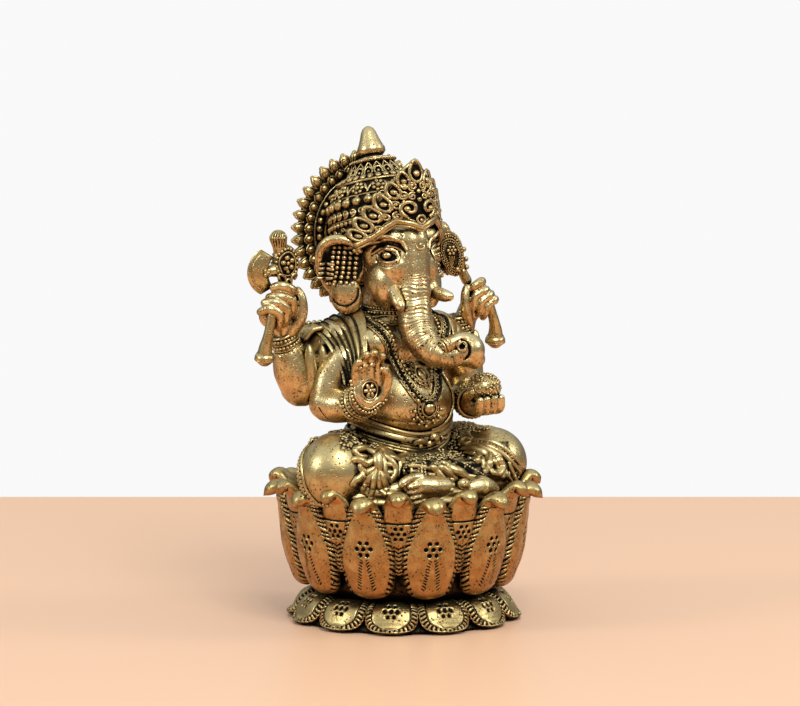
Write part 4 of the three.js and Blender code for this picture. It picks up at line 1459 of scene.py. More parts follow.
@dataclass
class Hands:
    """Two fists round staffs, an open hand raised in blessing, and a hand that holds a sweet ball."""

    sweet: Point = (11.9, -12.2, 48.5)
    grains: int = 330

    def build(self) -> None:
        """Makes the four hands."""
        fist = self._fist()
        left = fist.mirrored()
        left.move(Matrix.Translation((-4.0, 0, -1.4)))
        wrist = Matrix.Translation((18.4, 8.0, 58.0))
        left.move(wrist @ Matrix.Scale(0.88, 4) @ wrist.inverted())
        fist.piece("right_fist", Finish.SKIN, "right_rear_hand")
        left.piece("left_fist", Finish.SKIN, "left_rear_hand")
        self._blessing()
        self._giving()

    def _fist(self) -> Casting:
        """The right rear fist: four bent fingers, one above another, and a tall thumb."""
        form = Casting()
        form.bar(
            [(-23.2, 8, 58.6), (-23.6, 8, 61.4), (-25, 7.6, 64.2), (-24.8, 7.4, 67)], 6, [2.3, 2.6, 2.9, 2.3],
            20,
        )
        form.ball((-27.6, 7.2, 63.8), (2.2, 2.2, 2.6), fine=4)
        fingers = (
            ([(-27.0, 6.4, 69.6), (-25.8, 4.9, 70.0), (-23.6, 4.6, 69.0), (-22.9, 6.0, 68.2)], 1.0),
            (
                [
                    (-28.0, 6.4, 67.6), (-26.6, 4.5, 67.9), (-23.9, 4.3, 66.8), (-23.6, 4.9, 64.6),
                    (-24, 5.8, 63.4),
                ],
                1.0,
            ),
            (
                [
                    (-29.2, 6.2, 66.6), (-27.8, 4.3, 66.8), (-25.4, 4.0, 65.3), (-25.2, 4.5, 63.2),
                    (-25.4, 5.4, 62.2),
                ],
                0.98,
            ),
            (
                [
                    (-30.2, 6.2, 64.8), (-29.2, 4.4, 65.6), (-27.2, 4.0, 64.4), (-26.7, 4.4, 62.6),
                    (-26.6, 5.4, 61.4),
                ],
                0.95,
            ),
        )
        for path, girth in fingers:
            form.bar(path, 6, [girth * 0.95, girth * 1.05, girth, girth * 0.9], 14)
        form.bar(
            [(-23.2, 6.2, 60.2), (-21.9, 5.0, 62.4), (-21.3, 4.6, 65), (-21.5, 4.9, 67.4), (-22, 5.3, 68.8)],
            6, [1.4, 1.35, 1.15, 1.05, 0.8], 16,
        )
        return form.fuse(0.17, 3)

    def _blessing(self) -> None:
        """The open right hand, palm forward, with a flower in the palm."""
        form = Casting()
        form.ball((-13.5, -8.2, 48.6), (3.7, 1.9, 4.6), (0, 0, 8), fine=5)
        for x, top, girth in (
            (-16.1, 55.6, 0.92), (-14.6, 57.0, 0.98), (-13.0, 57.2, 1.0), (-11.4, 56.4, 0.96),
        ):
            lean = (x + 13.6) * 0.1
            path = [
                (x + 0.1, -8.4, 51), (x + lean, -8.6, 53.2), (x + lean * 1.4, -9.1, top - 1.2),
                (x + lean * 1.6, -10.3, top),
            ]
            form.bar(path, 6, [girth * 1.1, girth, girth * 0.98, girth * 0.85], 14)
        form.bar(
            [(-10.9, -8.6, 47.6), (-9.7, -9.4, 50), (-9.8, -10.2, 52.2), (-10.6, -10.8, 53.6)], 6,
            [1.5, 1.2, 1.05, 0.9], 14,
        )
        hand = form.fuse(0.17, 3)
        hand.carve(self._palm)
        skin = Skin(hand)
        place = skin.patch((-13.5, -9, 49.4), (0.1, 1, 0))
        for angle in range(0, 360, 60):
            petal = Casting()
            petal.ball((0.95, 0, 0.2), (0.62, 0.4, 0.36), fine=3)
            hand.add(petal, laid(place, angle=angle))
        heart = Casting()
        heart.ball((0, 0, 0.25), 0.42, fine=3)
        heart.ring((0, 0, 0.1), 1.95, 0.22, 28)
        hand.add(heart, place)
        for x, z in ((-15.9, 53.4), (-14.5, 54.4), (-13.0, 54.5), (-11.5, 54)):
            hand.ball(skin.near((x, -11, z), -0.1), (0.85, 0.4, 0.5))
        rim = [
            (-17.0, -8, 51.4), (-17.1, -8.8, 48.4), (-15.8, -9.6, 45.6), (-13.5, -10, 44.6),
            (-11.2, -9.8, 45.6), (-10, -9.4, 48),
        ]
        border = skin.run(rim, 8, 0.15)
        hand.beads(border, 0.40, 0.78)
        inner = [skin.near(spot + Vector((0, -0.4, 0.9)), 0.1) for spot in route(rim[1:5], 8)]
        hand.tube(inner, 0.24, 8)
        hand.piece("blessing_hand", Finish.SKIN, "right_front_hand")

    def _palm(self, points: Array) -> Pair:
        """A sunken, darkened palm."""
        x, y, z = points.T
        hollow = fade(1.7, 2.7, np.hypot(x + 13.5, z - 49.5)) * (y < -8.4)
        return -0.7 * hollow, 0.9 * hollow

    def _giving(self) -> None:
        """The left hand, palm up, and the ball on it."""
        form = Casting()
        form.ball((12.2, -10.4, 44.6), (3.3, 4.4, 2.0), (8, 0, 0), fine=5)
        for k in range(4):
            start, middle = (9.6 + 1.2 * k, -11.6, 43.9), (9.0 + 1.8 * k, -14.5 + 0.2 * k, 44.1)
            form.bar([start, middle, (8.8 + 1.85 * k, -15.9 + 0.35 * k, 46.4)], 8, [1.15, 1.1, 1.0, 0.8], 14)
        form.bar([(10.4, -8.6, 45.4), (9.0, -10.8, 46.6), (9.0, -12.8, 47.8)], 6, [1.3, 1.15, 0.95], 14)
        hand = form.fuse(0.17, 3)
        hand.piece("giving_hand", Finish.SKIN, "left_front_hand")
        sweet = Casting()
        sweet.ball(self.sweet, (3.3, 3.2, 2.75), fine=5)
        draw = random.Random(21)
        lumps = Skin(sweet)
        for _ in range(self.grains):
            heading = Vector([draw.gauss(0, 1) for _ in range(3)]).normalized()
            spot = lumps.near(Vector(self.sweet) + heading * 4, 0.02)
            sweet.ball(spot, draw.uniform(0.22, 0.42), fine=1)
        sweet.piece("sweet_ball_grains", Finish.ORNAMENT, "sweet_ball", hollows=1.4)


# ------------------------------------------------------------------------------------------------ head
@dataclass
class Head:
    """The elephant's head: brows, eyes, a wrinkled trunk with a curled tip, tusks and ears."""

    eye: Vector = field(default_factory=lambda: Vector((-4.9, -1.9, 75.6)))
    eye_aim: Vector = field(default_factory=lambda: Vector((0.72, 0.70, -0.02)))
    trunk_line: Line = (
        (-0.3, -3.9, 73), (-0.4, -4.6, 70), (-0.8, -5.6, 66), (-1.1, -6.9, 62), (-0.8, -8.5, 59),
        (0.2, -10.3, 57),
        (1.8, -12.0, 56.0), (3.6, -13.2, 55.7), (5.6, -13.9, 56.2),
    )

    def build(self) -> None:
        """Makes the head and what grows from it."""
        form = Casting()
        form.ball((0, 5, 75.8), (7.4, 9, 8.2), fine=5)
        form.ball((0, 2.2, 69.8), (7, 7.2, 6.2), fine=5)
        form.tube([(0, 4.8, 62), (0, 4.4, 70)], [5.6, 6.0], 24)
        for side in (-1, 1):
            form.ball((side * 3.9, 0.2, 69.6), (3.8, 4.8, 5.4), fine=4)
            form.ball((side * 2.3, -1.6, 73.2), (4.2, 4.4, 5.0), fine=4)
            form.ball((side * 3.0, -2.0, 78.8), (3.5, 2.9, 3.0), fine=4)
            form.bar([(side * 3.4, -1.6, 70.0), (side * 4.4, -3.6, 68.2)], 5, [2.2, 1.75], 16)
        line = route([(0, -2.9, 79), (-0.1, -3.3, 75.6), *self.trunk_line[:3]], 6)
        form.tube(line, [3.5, 3.75, 3.6, 3.4, 3.35], 28)
        form.ball((-0.4, -3.4, 64.6), (2.7, 2.6, 2.0), fine=4)
        head = form.fuse(0.2, 9)
        head.carve(self._features)
        skin = Skin(head)
        self._eyes(head, skin)
        self._brow_mark(head, skin)
        head.piece("head_and_face", Finish.SKIN, "head", hollows=2.0)
        self._trunk()
        self._trunk_tip()
        for name, side in (("right", -1), ("left", 1)):
            tusk = Casting()
            ends = [(-4.2, -3.0, 69.4), (-4.9, -5.6, 67.2), (-5.0, -7.2, 65.8)] if side < 0 else [
                (4.2, -3.4, 68.0), (5.6, -6.0, 67.2), (6.4, -7.2, 67.0),
            ]
            tusk.bar(ends, 8, [1.35, 1.4, 1.3, 1.05], 20)
            tusk.piece(f"{name}_short_tusk", Finish.SKIN, f"{name}_tusk")
            self._ear(name, side)

    def _eye_frame(self, points: Array) -> Pair:
        """How far each point is from its side's eye, towards the trunk and upwards."""
        across = self.eye_aim.cross(Vector((0, 0, 1))).normalized()
        rise = across.cross(self.eye_aim)
        near = points.copy()
        near[:, 0] = -np.abs(near[:, 0])
        offset = near - np.array(self.eye)
        return offset @ np.array(across), offset @ np.array(rise)

    def _features(self, points: Array) -> Pair:
        """Eye hollows, a groove under each brow, a line under each eye, the wrinkles of the trunk's root and
        the mouth slots.
        """
        x, y, z = points.T
        across, up = self._eye_frame(points)
        ahead = y < 2.5
        across, up = across / 1.25, up / 1.2
        socket = np.hypot(across / 3.4, (up - 0.75 + 0.10 * across**2) / 1.9)
        hollow = fade(0.55, 1.0, socket) * ahead
        opening = fade(0.75, 1.0, np.hypot((across - 0.1) / 1.9, (up + 0.02) / 0.85)) * ahead
        brow_gap = fade(0.35, 0.75, np.abs(up - 2.25 + 0.16 * (across - 0.6) ** 2)) * ahead
        brow_gap = brow_gap * fade(2.9, 3.6, np.abs(across))
        under = fade(0.1, 0.4, np.abs(up + 1.75 - 0.18 * across**2)) * ahead * (np.abs(across) < 2.3)
        front = fade(2.2, 3.6, np.abs(x)) * fade(-6.4, -5.2, y)
        ripple = dashes(z / 0.72 + 0.05 * x**2 + 0.1 * np.sin(2 * z)) * front
        ripple = ripple * fade(71, 73.5, z) * smoothstep(62, 63, z)
        slot = fade(0.5, 1.1, np.hypot(np.abs(x) - 3.2, (z - 65.6) * 0.45)) * (y < -1.5)
        lift = -0.35 * hollow - 0.45 * opening - 0.35 * brow_gap - 0.12 * under - 0.1 * ripple - 0.9 * slot
        stain = 0.3 * hollow + 0.9 * opening + 0.85 * brow_gap + 0.4 * under + 0.3 * ripple + slot
        return lift, stain

    def _eyes(self, head: Casting, skin: Skin) -> None:
        """Raised lids, a pupil and a brow on each side."""
        upper = [(-3.2, 0.0), (-2.3, 0.35), (-1.0, 1.15), (0.3, 1.42), (1.5, 0.95), (2.15, -0.1), (2.2, -1.0)]
        lower = [(-2.1, 0.05), (-1.4, -0.65), (0, -1.05), (1.3, -0.92), (2.0, -0.5)]
        brow = [(-3.3, 1.75), (-2.1, 2.6), (-0.6, 3.3), (0.8, 3.4), (2.2, 2.85), (3.2, 1.8), (3.5, 1.2)]
        bag = [(-1.9, -0.95), (-0.8, -1.5), (0.4, -1.6), (1.5, -1.4)]
        for side in (-1, 1):
            eye = Vector((self.eye.x * -side, self.eye.y, self.eye.z))
            aim = Vector((self.eye_aim.x * -side, self.eye_aim.y, self.eye_aim.z))
            place = skin.patch(eye, aim)
            for outline, girth, lift in (
                (upper, [0.22, 0.34, 0.38, 0.36, 0.24], 0.22), (lower, [0.2, 0.3, 0.28], 0.16),
                (brow, [0.3, 0.42, 0.46, 0.42, 0.3], 0.2), (bag, 0.16, 0.02),
            ):
                line = [
                    place(Vector((spot.x * -side, spot.y, lift)))
                    for spot in route([(p[0] * 1.25, p[1] * 1.2, 0) for p in outline], 6)
                ]
                head.tube(line, girth, 10)
            head.ball(place(Vector((0.12 * -side, 0.05, 0.1))), (1.15, 1.1, 0.95), fine=4)

    def _brow_mark(self, head: Casting, skin: Skin) -> None:
        """A plain crescent over a dot on the forehead."""
        place = skin.patch((0, -7, 77.6), (0, 1, 0))
        crescent = [place(spot + Vector((0, 0, 0.1))) for spot in arc((0, 0.5), 0.95, 190, 350, 14)]
        head.tube(crescent, [0.14, 0.27, 0.3, 0.27, 0.14], 8)
        head.ball(place(Vector((0, 0.55, 0.1))), 0.36, fine=3)

    def _trunk(self) -> None:
        """The trunk, with its rings of wrinkles."""
        line = route(self.trunk_line, 26)

        def wrinkles(u: Array, v: Array) -> Pair:
            length = v * 30
            wave = 0.30 * np.sin(TURN * u * 2 + 1.3 * length) + 0.2 * np.sin(TURN * u * 5 + 0.4 * length)
            cuts = dashes(length / 0.66 + wave)
            deep = dashes(length / 2.9 + 0.3 * wave)
            return -0.07 * cuts - 0.09 * deep + 0.05 * np.sin(31 * u + 17 * v), 0.26 * cuts + 0.3 * deep

        trunk = Casting()
        trunk.tube(
            line, [3.3, 3.35, 3.35, 3.5, 3.4, 3.1, 2.75, 2.4, 2.2], 96, 1.0, (0, 1, 0.2), relief=wrinkles,
        )
        trunk.piece("wrinkled_trunk", Finish.SKIN, "trunk")

    def _trunk_tip(self) -> None:
        """The curled tip: a round end with a nostril, and a small ringed lip turned back."""
        form = Casting()
        form.ball((7.0, -14, 56.7), (3.55, 3.3, 3.5), fine=5)
        form.ball((8.3, -14.4, 54.9), (2.2, 2.3, 2.1), fine=4)
        form.bar(
            [(6.6, -14, 58.6), (5.0, -14.2, 58.9), (3.4, -14.1, 58.6), (2.1, -13.9, 58.0)], 6,
            [2.0, 1.8, 1.55, 1.5], 20,
        )
        tip = form.fuse(0.17, 3)
        aim = Vector((0.45, 0.88, -0.12)).normalized()
        centre = Vector((7.0, -14, 56.7))
        right = aim.cross(Vector((0, 0, 1))).normalized()
        rise = right.cross(aim)

        def carving(points: Array) -> Pair:
            offset = points - np.array(centre)
            across, up = offset @ np.array(right), offset @ np.array(rise)
            near = (offset @ np.array(aim)) < 0.4
            hole = fade(0.25, 0.7, np.hypot(across + 1.35, up - 0.95)) * near
            bow = np.hypot(across + 1.9, up - 0.1)
            slit = fade(0.12, 0.5, np.abs(bow - 2.15)) * near * (across > -1.6) * (up > -2.0)
            collar = fade(0.1, 0.35, np.abs(np.hypot(across + 1.35, up - 0.95) - 1.35)) * near
            return -1.1 * hole - 0.5 * slit - 0.1 * collar, hole + 0.85 * slit + 0.3 * collar

        tip.carve(carving)
        skin = Skin(tip)
        place = skin.patch(centre, aim)
        ring = [place(spot + Vector((0, 0, 0.1))) for spot in arc((-1.35, 0.95), 0.85, 0, 360, 20)]
        tip.tube(ring, 0.26, 8, closed=True)
        heading = Vector((-0.9, 0.1, -0.35)).normalized()
        lip = Vector((2.4, -13.9, 58.2))
        for shift, radius in ((0.0, 1.45), (0.7, 1.5), (1.3, 1.35)):
            hoop = Casting()
            hoop.ring((0, 0, 0), radius, 0.26, 28)
            tip.add(hoop, frame_along(lip + heading * shift, heading))
        for turn in around(6):
            tip.ball(frame_along(lip + heading * 1.5, heading) @ turn @ Vector((0.75, 0, 0)), 0.36)
        tip.piece("curled_trunk_tip", Finish.SKIN, "trunk_tip")

    def _ear(self, name: str, side: int) -> None:
        """A swept-back ear: a thick folded rim, a beaded hollow with fringe bars, and a smooth lobe."""
        ear = Casting()
        lean = Matrix.Translation((side * 11.0, 6.9, 72.0)) @ Matrix.Rotation(
            side * math.radians(40), 4, "Z",
        ) @ Matrix.Rotation(side * math.radians(-6), 4, "Y")
        plate = Casting()
        plate.ball((0, 0.6, 0.4), (4.7, 1.1, 6.2), fine=5)
        plate.ball((side * -1.7, -0.4, -5.0), (3.4, 1.3, 4.2), (0, side * 16, 0), fine=5)
        rim = [
            (-4.0, -0.3, -2.2), (-4.6, -0.5, 1.0), (-4.4, -0.8, 3.6), (-3.0, -1.1, 5.6), (-0.6, -1.3, 6.4),
            (2.0, -1.2, 6.0), (3.6, -1.0, 4.6),
        ]
        plate.bar([(-side * x, y, z) for x, y, z in rim], 8, [0.6, 0.85, 1.0, 1.1, 1.1, 1.0, 0.8], 16)
        whole = plate.fuse(0.2, 3)

        def hollow(points: Array) -> Pair:
            x, y, z = points.T
            inside = fade(0.8, 1.0, np.hypot((x * -side - 0.6) / 4.6, (z - 1.4) / 4.6)) * (y < 0.4)
            fold = fade(0.1, 0.35, np.abs(np.hypot(x * -side - 1.4, z + 4.2) - 3.0)) * (y < 0) * (z < -3.2)
            fold = fold * (x * -side > -1)
            return -0.2 * inside - 0.25 * fold, 0.8 * inside + 0.6 * fold

        whole.carve(hollow)
        skin = Skin(whole)
        place = skin.patch((0, 0, 0), (0, 1, 0))
        for column, (x, count, size) in enumerate(
            ((-3.0, 8, 0.5), (-1.8, 8, 0.46), (-0.6, 8, 0.52), (0.6, 8, 0.46), (1.7, 5, 0.5))
        ):
            for k in range(count):
                whole.ball(place(Vector((side * x, 4.9 - 1.04 * k - 0.1 * column, 0.4))), size)
        for k in range(4):
            bar = [place(Vector((side * shift, 0.9 - 0.98 * k, 0.5))) for shift in (4.2, 3.2, 2.2, 1.4)]
            whole.tube(bar, [0.38, 0.36, 0.36, 0.34], 10)
        for x, z, size in ((2.4, -3.2, 0.5), (1.6, -3.0, 0.4), (0.8, -3.1, 0.5)):
            whole.ball(place(Vector((side * x, z, 0.25))), size)
        ear.add(whole, lean)
        ear.piece(f"{name}_swept_ear", Finish.SKIN, f"{name}_ear")


# ------------------------------------------------------------------------------------------------ crown
@dataclass
class Crown:
    """The tall leaning crown with its bands, the openwork crest in front, the finial and the halo behind."""

    base: Vector = field(default_factory=lambda: Vector((0, 7.6, 76.9)))
    lean: float = 18.0
    halo_face: float = 17.9
    crest_width: float = 9.9
    wall: Line = (
        (-1.6, 9.4), (0.4, 10.3), (3, 10.7), (5.4, 10.6), (8, 10.0), (10.5, 8.9), (12.6, 7.3), (14, 5.4),
        (16, 4.2),
    )

    def _stand(self) -> Matrix:
        """The crown's own frame, whose Z is its axis."""
        return Matrix.Translation(self.base) @ Matrix.Rotation(math.radians(-self.lean), 4, "X")

    def _on_wall(self, height: float) -> Place:
        """A place for flat ornament at a height on the wall. X runs round it, and Y up it."""
        heights, radii = zip(*self.wall)

        def place(point: Vector) -> Vector:
            level = height + point.y
            radius = float(np.interp(level, heights, radii))
            angle = point.x / radius
            reach = radius + point.z
            return Vector((reach * math.sin(angle), -reach * math.cos(angle), level + 0.25 * point.z))

        return place

    def build(self) -> None:
        """Makes the crown's pieces."""
        self._body()
        self._crest()
        self._finial()
        self._halo()

    def _band(self, metal: Casting, pattern: Casting, height: float, pitch: float, lift: float = 0.0) -> None:
        """Copies a pattern all round the crown, about a pitch apart."""
        place = self._on_wall(height)
        first = Casting()
        first.add(pattern, laid(place, lift=lift))
        for turn in around(round(TURN * place(Vector((0, 0, 0))).xy.length / pitch)):
            metal.add(first, turn)

    def _body(self) -> None:
        """The domed wall and its bands of beads, scrolls and flowers."""
        crown = Casting()
        profile = [(0, -1.6), *((radius, height) for height, radius in self.wall), (0, 16)]
        crown.turned(profile, 96, stain=0.95)
        for height, swell, girth in (
            (-0.9, 0.25, 0.5), (4.5, 0.1, 0.22), (9.3, 0.1, 0.2), (12.3, 0.25, 0.34),
        ):
            radius = float(np.interp(height, *zip(*self.wall)))
            crown.ring((0, 0, height), radius + swell, girth, 96)

        self._band(crown, eyelet(0.95, 0.24, 0.42, 1.15, 0.3), 0.3, 2.7, 0.3)
        squiggle = Casting()
        squiggle.tube(
            [Vector((x, 0.75 * math.sin(x * 2.2), 0.25)) for x in np.linspace(-1.35, 1.35, 15)], 0.22, 6,
        )
        squiggle.ball((-0.7, -0.1, 0.3), 0.34)
        squiggle.ball((0.72, 0.15, 0.3), 0.34)
        self._band(crown, squiggle, 2.2, 3.0)
        bead = Casting()
        bead.ball((0, 0, 0.3), 0.5)
        self._band(crown, bead, 3.75, 1.22)
        self._band(crown, curl(0.82, 0.24, 1.2), 5.75, 1.9, 0.3)
        pear = Casting()
        pear.ball((0, -0.1, 0.4), (0.95, 0.9, 0.95), fine=3)
        pear.ball((0, 0.85, 0.2), (0.42, 0.6, 0.5))
        self._band(crown, pear, 7.9, 2.45)
        self._band(crown, rosette(7, 0.98, 0.42, 0.55), 10.6, 4.3, 0.35)
        sprig = Casting()
        for side in (-1, 1):
            sprig.bar(
                [(2.15, -0.6, 0.2), (2.15 + 0.5 * side, 0.3, 0.3), (2.15 + 0.85 * side, 1.0, 0.2)], 4,
                [0.2, 0.3, 0.16], 6,
            )
        sprig.ball((2.15, -0.7, 0.25), 0.3)
        self._band(crown, sprig, 10.5, 4.3)
        small = Casting()
        small.ball((0, 0, 0.45), 0.62)
        self._band(crown, small, 12.95, 1.5)
        arch = Casting()
        arch.tube(arc((0, -0.1), 0.8, 200, -20, 10, 1.15), 0.22, 6)
        arch.ball((0, -0.15, 0), 0.28)
        self._band(crown, arch, 14.25, 1.95, 0.3)
        fret = Casting()
        for side in (-1, 1):
            fret.tube([(side * 0.05, 0.75, 0), (side * 0.62, -0.1, 0), (side * 0.8, -0.6, 0)], 0.16, 6)
        self._band(crown, fret, 15.3, 1.75, 0.3)
        crown.move(self._stand())
        for vert in crown.mesh.verts:
            vert.co.y = min(vert.co.y, self.halo_face)
        crown.piece("banded_crown", Finish.ORNAMENT, "crown", hollows=1.4)

    def _finial(self) -> None:
        """A notched disc, a dark neck and a smooth bud."""
        finial = Casting()
        finial.turned([(0, 16.0), (4.1, 16.3), (4.75, 16.6), (4.7, 17.0), (2.9, 17.2), (0, 17.2)], 64, 0.1)
        finial.turned([(0, 17.0), (2.45, 17.1), (2.2, 17.7), (2.3, 18.3), (0, 18.4)], 48, 0.95)
        finial.turned(
            [
                (0, 18.0), (2.45, 18.1), (2.95, 18.7), (2.9, 19.5), (2.35, 20.6), (1.9, 21.8), (1.55, 22.9),
                (1.1, 23.7), (0.5, 24.1), (0, 24.2),
            ],
            48, 0.0,
        )
        for turn in around(40):
            finial.ball(turn @ Vector((0, -4.7, 16.8)), (0.26, 0.3, 0.3), fine=1)
        finial.ring((0, 0, 17.35), 2.75, 0.22, 40)
        finial.move(self._stand())
        finial.piece("bud_finial", Finish.SKIN, "crown_finial")

    def _edge(
        self, metal: Casting, edge: int, shift: float, lift: float, steps: int, girth: float, sides: int,
    ) -> None:
        """Lays a bar along the crest's lower (0) or upper (1) edge, shifted up and lifted off it."""
        places = np.linspace(-self.crest_width, self.crest_width, steps)
        line = [self._on_crest(Vector((x, self._crest_edge(x)[edge] + shift, lift))) for x in places]
        metal.tube(line, girth, sides)

    def _on_crest(self, point: Vector) -> Vector:
        """A place on the crest, whose plan is a parabola. Y is the height above the brow."""
        x, rise, lift = point
        setback = -7.0 + 0.215 * rise
        slope = 0.21 * x
        normal = Vector((slope, -1, 0)).normalized()
        return Vector((x, setback + 0.105 * x * x, 81.8 + rise)) + normal * lift

    def _crest_edge(self, x: float) -> tuple[float, float]:
        """The crest's lower and upper edges at a place across it."""
        across = abs(x)
        low = float(np.interp(across, (0, 2, 4.5, 6, 7.8, 9.9), (-0.2, 0.7, 1.1, -0.2, -2.4, -4.4)))
        high = float(
            np.interp(across, (0, 2, 4.1, 5.9, 7.5, 8.8, 9.9), (12.9, 11.6, 9.2, 6.2, 3.9, 1.8, -0.4))
        )
        return low, high

    def _crest(self) -> None:
        """A shield of scrolls and eyelets, on a thin plate with a plain back."""
        crest = Casting()

        def plate(u: Array, v: Array) -> Array:
            x = (2 * u - 1) * self.crest_width
            edges = np.array([[self._crest_edge(value) for value in row] for row in x])
            turn = v * TURN
            share = 0.5 - 0.5 * np.cos(turn)
            rise = edges[..., 0] * (1 - share) + edges[..., 1] * share
            lift = -0.5 + 0.55 * np.sin(turn)
            flat = np.stack([x, rise, lift], axis=-1)
            return np.array([[self._on_crest(Vector(spot)) for spot in row] for row in flat])

        crest.sheet(60, 40, plate)
        for vert in crest.mesh.verts:
            vert[crest.patina] = 0.95
        self._edge(crest, 0, 0.15, 0.1, 70, 0.62, 12)
        self._edge(crest, 0, 0.85, 0.05, 60, 0.22, 8)
        self._edge(crest, 0, -0.62, 0.05, 60, 0.25, 8)
        self._edge(crest, 1, 0.1, -0.75, 70, 0.5, 10)

        loops = [(0.0, 11.0, 1.4, 1.35, 0.7, 0.35)]
        for side in (-1, 1):
            loops += [
                (side * 2.55, 9.4, 1.05, 1.3, 0.55, 0.35), (side * 4.35, 7.2, 1.1, 1.25, 0.58, 0.35),
                (side * 6.0, 4.6, 1.15, 1.3, 0.55, 0.4), (side * 7.5, 2.2, 1.1, 1.2, 0.55, 0.35),
                (side * 8.7, 0.0, 1.0, 1.2, 0.5, 0.3), (side * 9.5, -2.2, 0.9, 1.1, 0.45, 0.3),
            ]
        for x, y, radius, stretch, bead, tip in loops:
            pattern = eyelet(radius, 0.33, bead, stretch, tip)
            lean = -x * 3.2
            crest.add(pattern, laid(self._on_crest, (x, y), lean, lift=0.35))
        for side in (-1, 1):
            big = curl(1.75, 0.42, 1.15 * side)
            crest.add(big, laid(self._on_crest, (side * 1.95, 3.9), 20 * side, lift=0.55))
            for x, y, size, turns, angle in (
                (1.05, 8.3, 0.95, 1.4, 0), (2.9, 6.6, 0.95, -1.4, 90), (1.3, 6.3, 0.8, -1.3, 200),
                (4.2, 4.4, 1.0, 1.4, 30), (4.0, 2.3, 0.85, -1.3, 150),
                (5.9, 1.9, 0.85, 1.3, 40), (6.9, -0.5, 0.75, -1.3, 10), (8.2, -2.6, 0.6, 1.2, 60),
                (2.6, 8.2, 0.5, 1.2, 130),
            ):
                pattern = curl(size, 0.25, turns * side)
                crest.add(pattern, laid(self._on_crest, (side * x, y), angle * side, lift=0.38))
            for x, y, size in (
                (2.9, 5.2, 0.4), (5.2, 3.2, 0.36), (5.0, 5.9, 0.4), (6.9, 0.9, 0.34), (3.4, 8.6, 0.36),
                (1.7, 9.6, 0.36), (7.9, -1.1, 0.32), (2.4, 1.9, 0.34),
            ):
                crest.ball(self._on_crest(Vector((side * x, y, 0.4))), size)
        ring = eyelet(0.85, 0.28, 0.42)
        crest.add(ring, laid(self._on_crest, (0, 1.6), lift=0.5))
        for y, size in ((5.6, 0.55), (7.3, 0.5), (9.2, 0.42)):
            crest.ball(self._on_crest(Vector((0, y, 0.45))), size)
        crest.piece("openwork_crest", Finish.ORNAMENT, "crown_crest", hollows=1.4)

    def _halo(self) -> None:
        """A round halo with a border of lobes, loops and beads on both faces."""
        halo = Casting()
        profile = [
            (0, 0.9), (8.4, 0.9), (8.8, 1.3), (9.4, 1.0), (13.4, 0.7), (14.6, 0.2), (14.6, -0.6),
            (13.2, -1.2), (8.6, -1.3), (0, -1.1),
        ]
        halo.turned(list(reversed(profile)), 96, stain=0.9)
        halo.ring((0, 0, 1.15), 8.9, 0.42, 72)
        halo.ring((0, 0, 0.9), 11.35, 0.22, 72)
        lobes = 36
        cluster = Casting()
        cluster.ball((0, -14.75, 0.1), (1.12, 1.45, 1.0), fine=3)
        cluster.ball((0, -15.7, 0.0), (0.62, 0.8, 0.62))
        cluster.ball((0, -12.75, 0.95), (0.78, 0.95, 0.78), fine=3)
        for side in (-1, 1):
            cluster.bar(
                [(side * 0.25, -13.9, 1.35), (side * 0.95, -13.2, 1.15), (side * 1.05, -12.2, 0.95)], 5,
                [0.16, 0.24, 0.18], 6,
            )
            cluster.bar(
                [(side * 0.1, -16.2, 0.4), (side * 0.9, -15.4, 0.75), (side * 1.15, -14.2, 0.85)], 5,
                [0.14, 0.22, 0.16], 6,
            )
        for turn in around(lobes, 5):
            halo.add(cluster, turn)
        for turn in around(38):
            halo.ball(turn @ Vector((0, -10.35, 1.15)), 0.76)
        rear = Casting()
        rear.ball((0, -12.4, -1.1), (1.1, 1.7, 0.55), fine=3)
        rear.tube(arc((0, -12.6), 1.35, 200, 340, 8), 0.2, 6)
        for spot in rear.mesh.verts:
            spot.co.z = min(spot.co.z, -0.9) if spot.co.z < -0.3 else spot.co.z - 1.3
        for turn in around(lobes // 2, 5):
            halo.add(rear, turn)
        for turn in around(8):
            petal = Casting()
            petal.ball((0, -4.3, -1.15), (1.5, 3.2, 0.6), fine=4)
            halo.add(petal, turn)
        for turn in around(34):
            halo.ball(turn @ Vector((0, -9.2, -1.3)), 0.6)
        halo.ball((0, 0, -1.2), (1.7, 1.7, 0.9), fine=4)
        halo.ring((0, 0, -1.15), 8.0, 0.35, 64)
        halo.ring((0, 0, -1.1), 2.4, 0.3, 32)
        halo.move(Matrix.Translation((0, 18, 78.3)) @ Matrix.Rotation(math.radians(90), 4, "X"))
        halo.piece("lobed_halo", Finish.ORNAMENT, "halo", hollows=1.6)


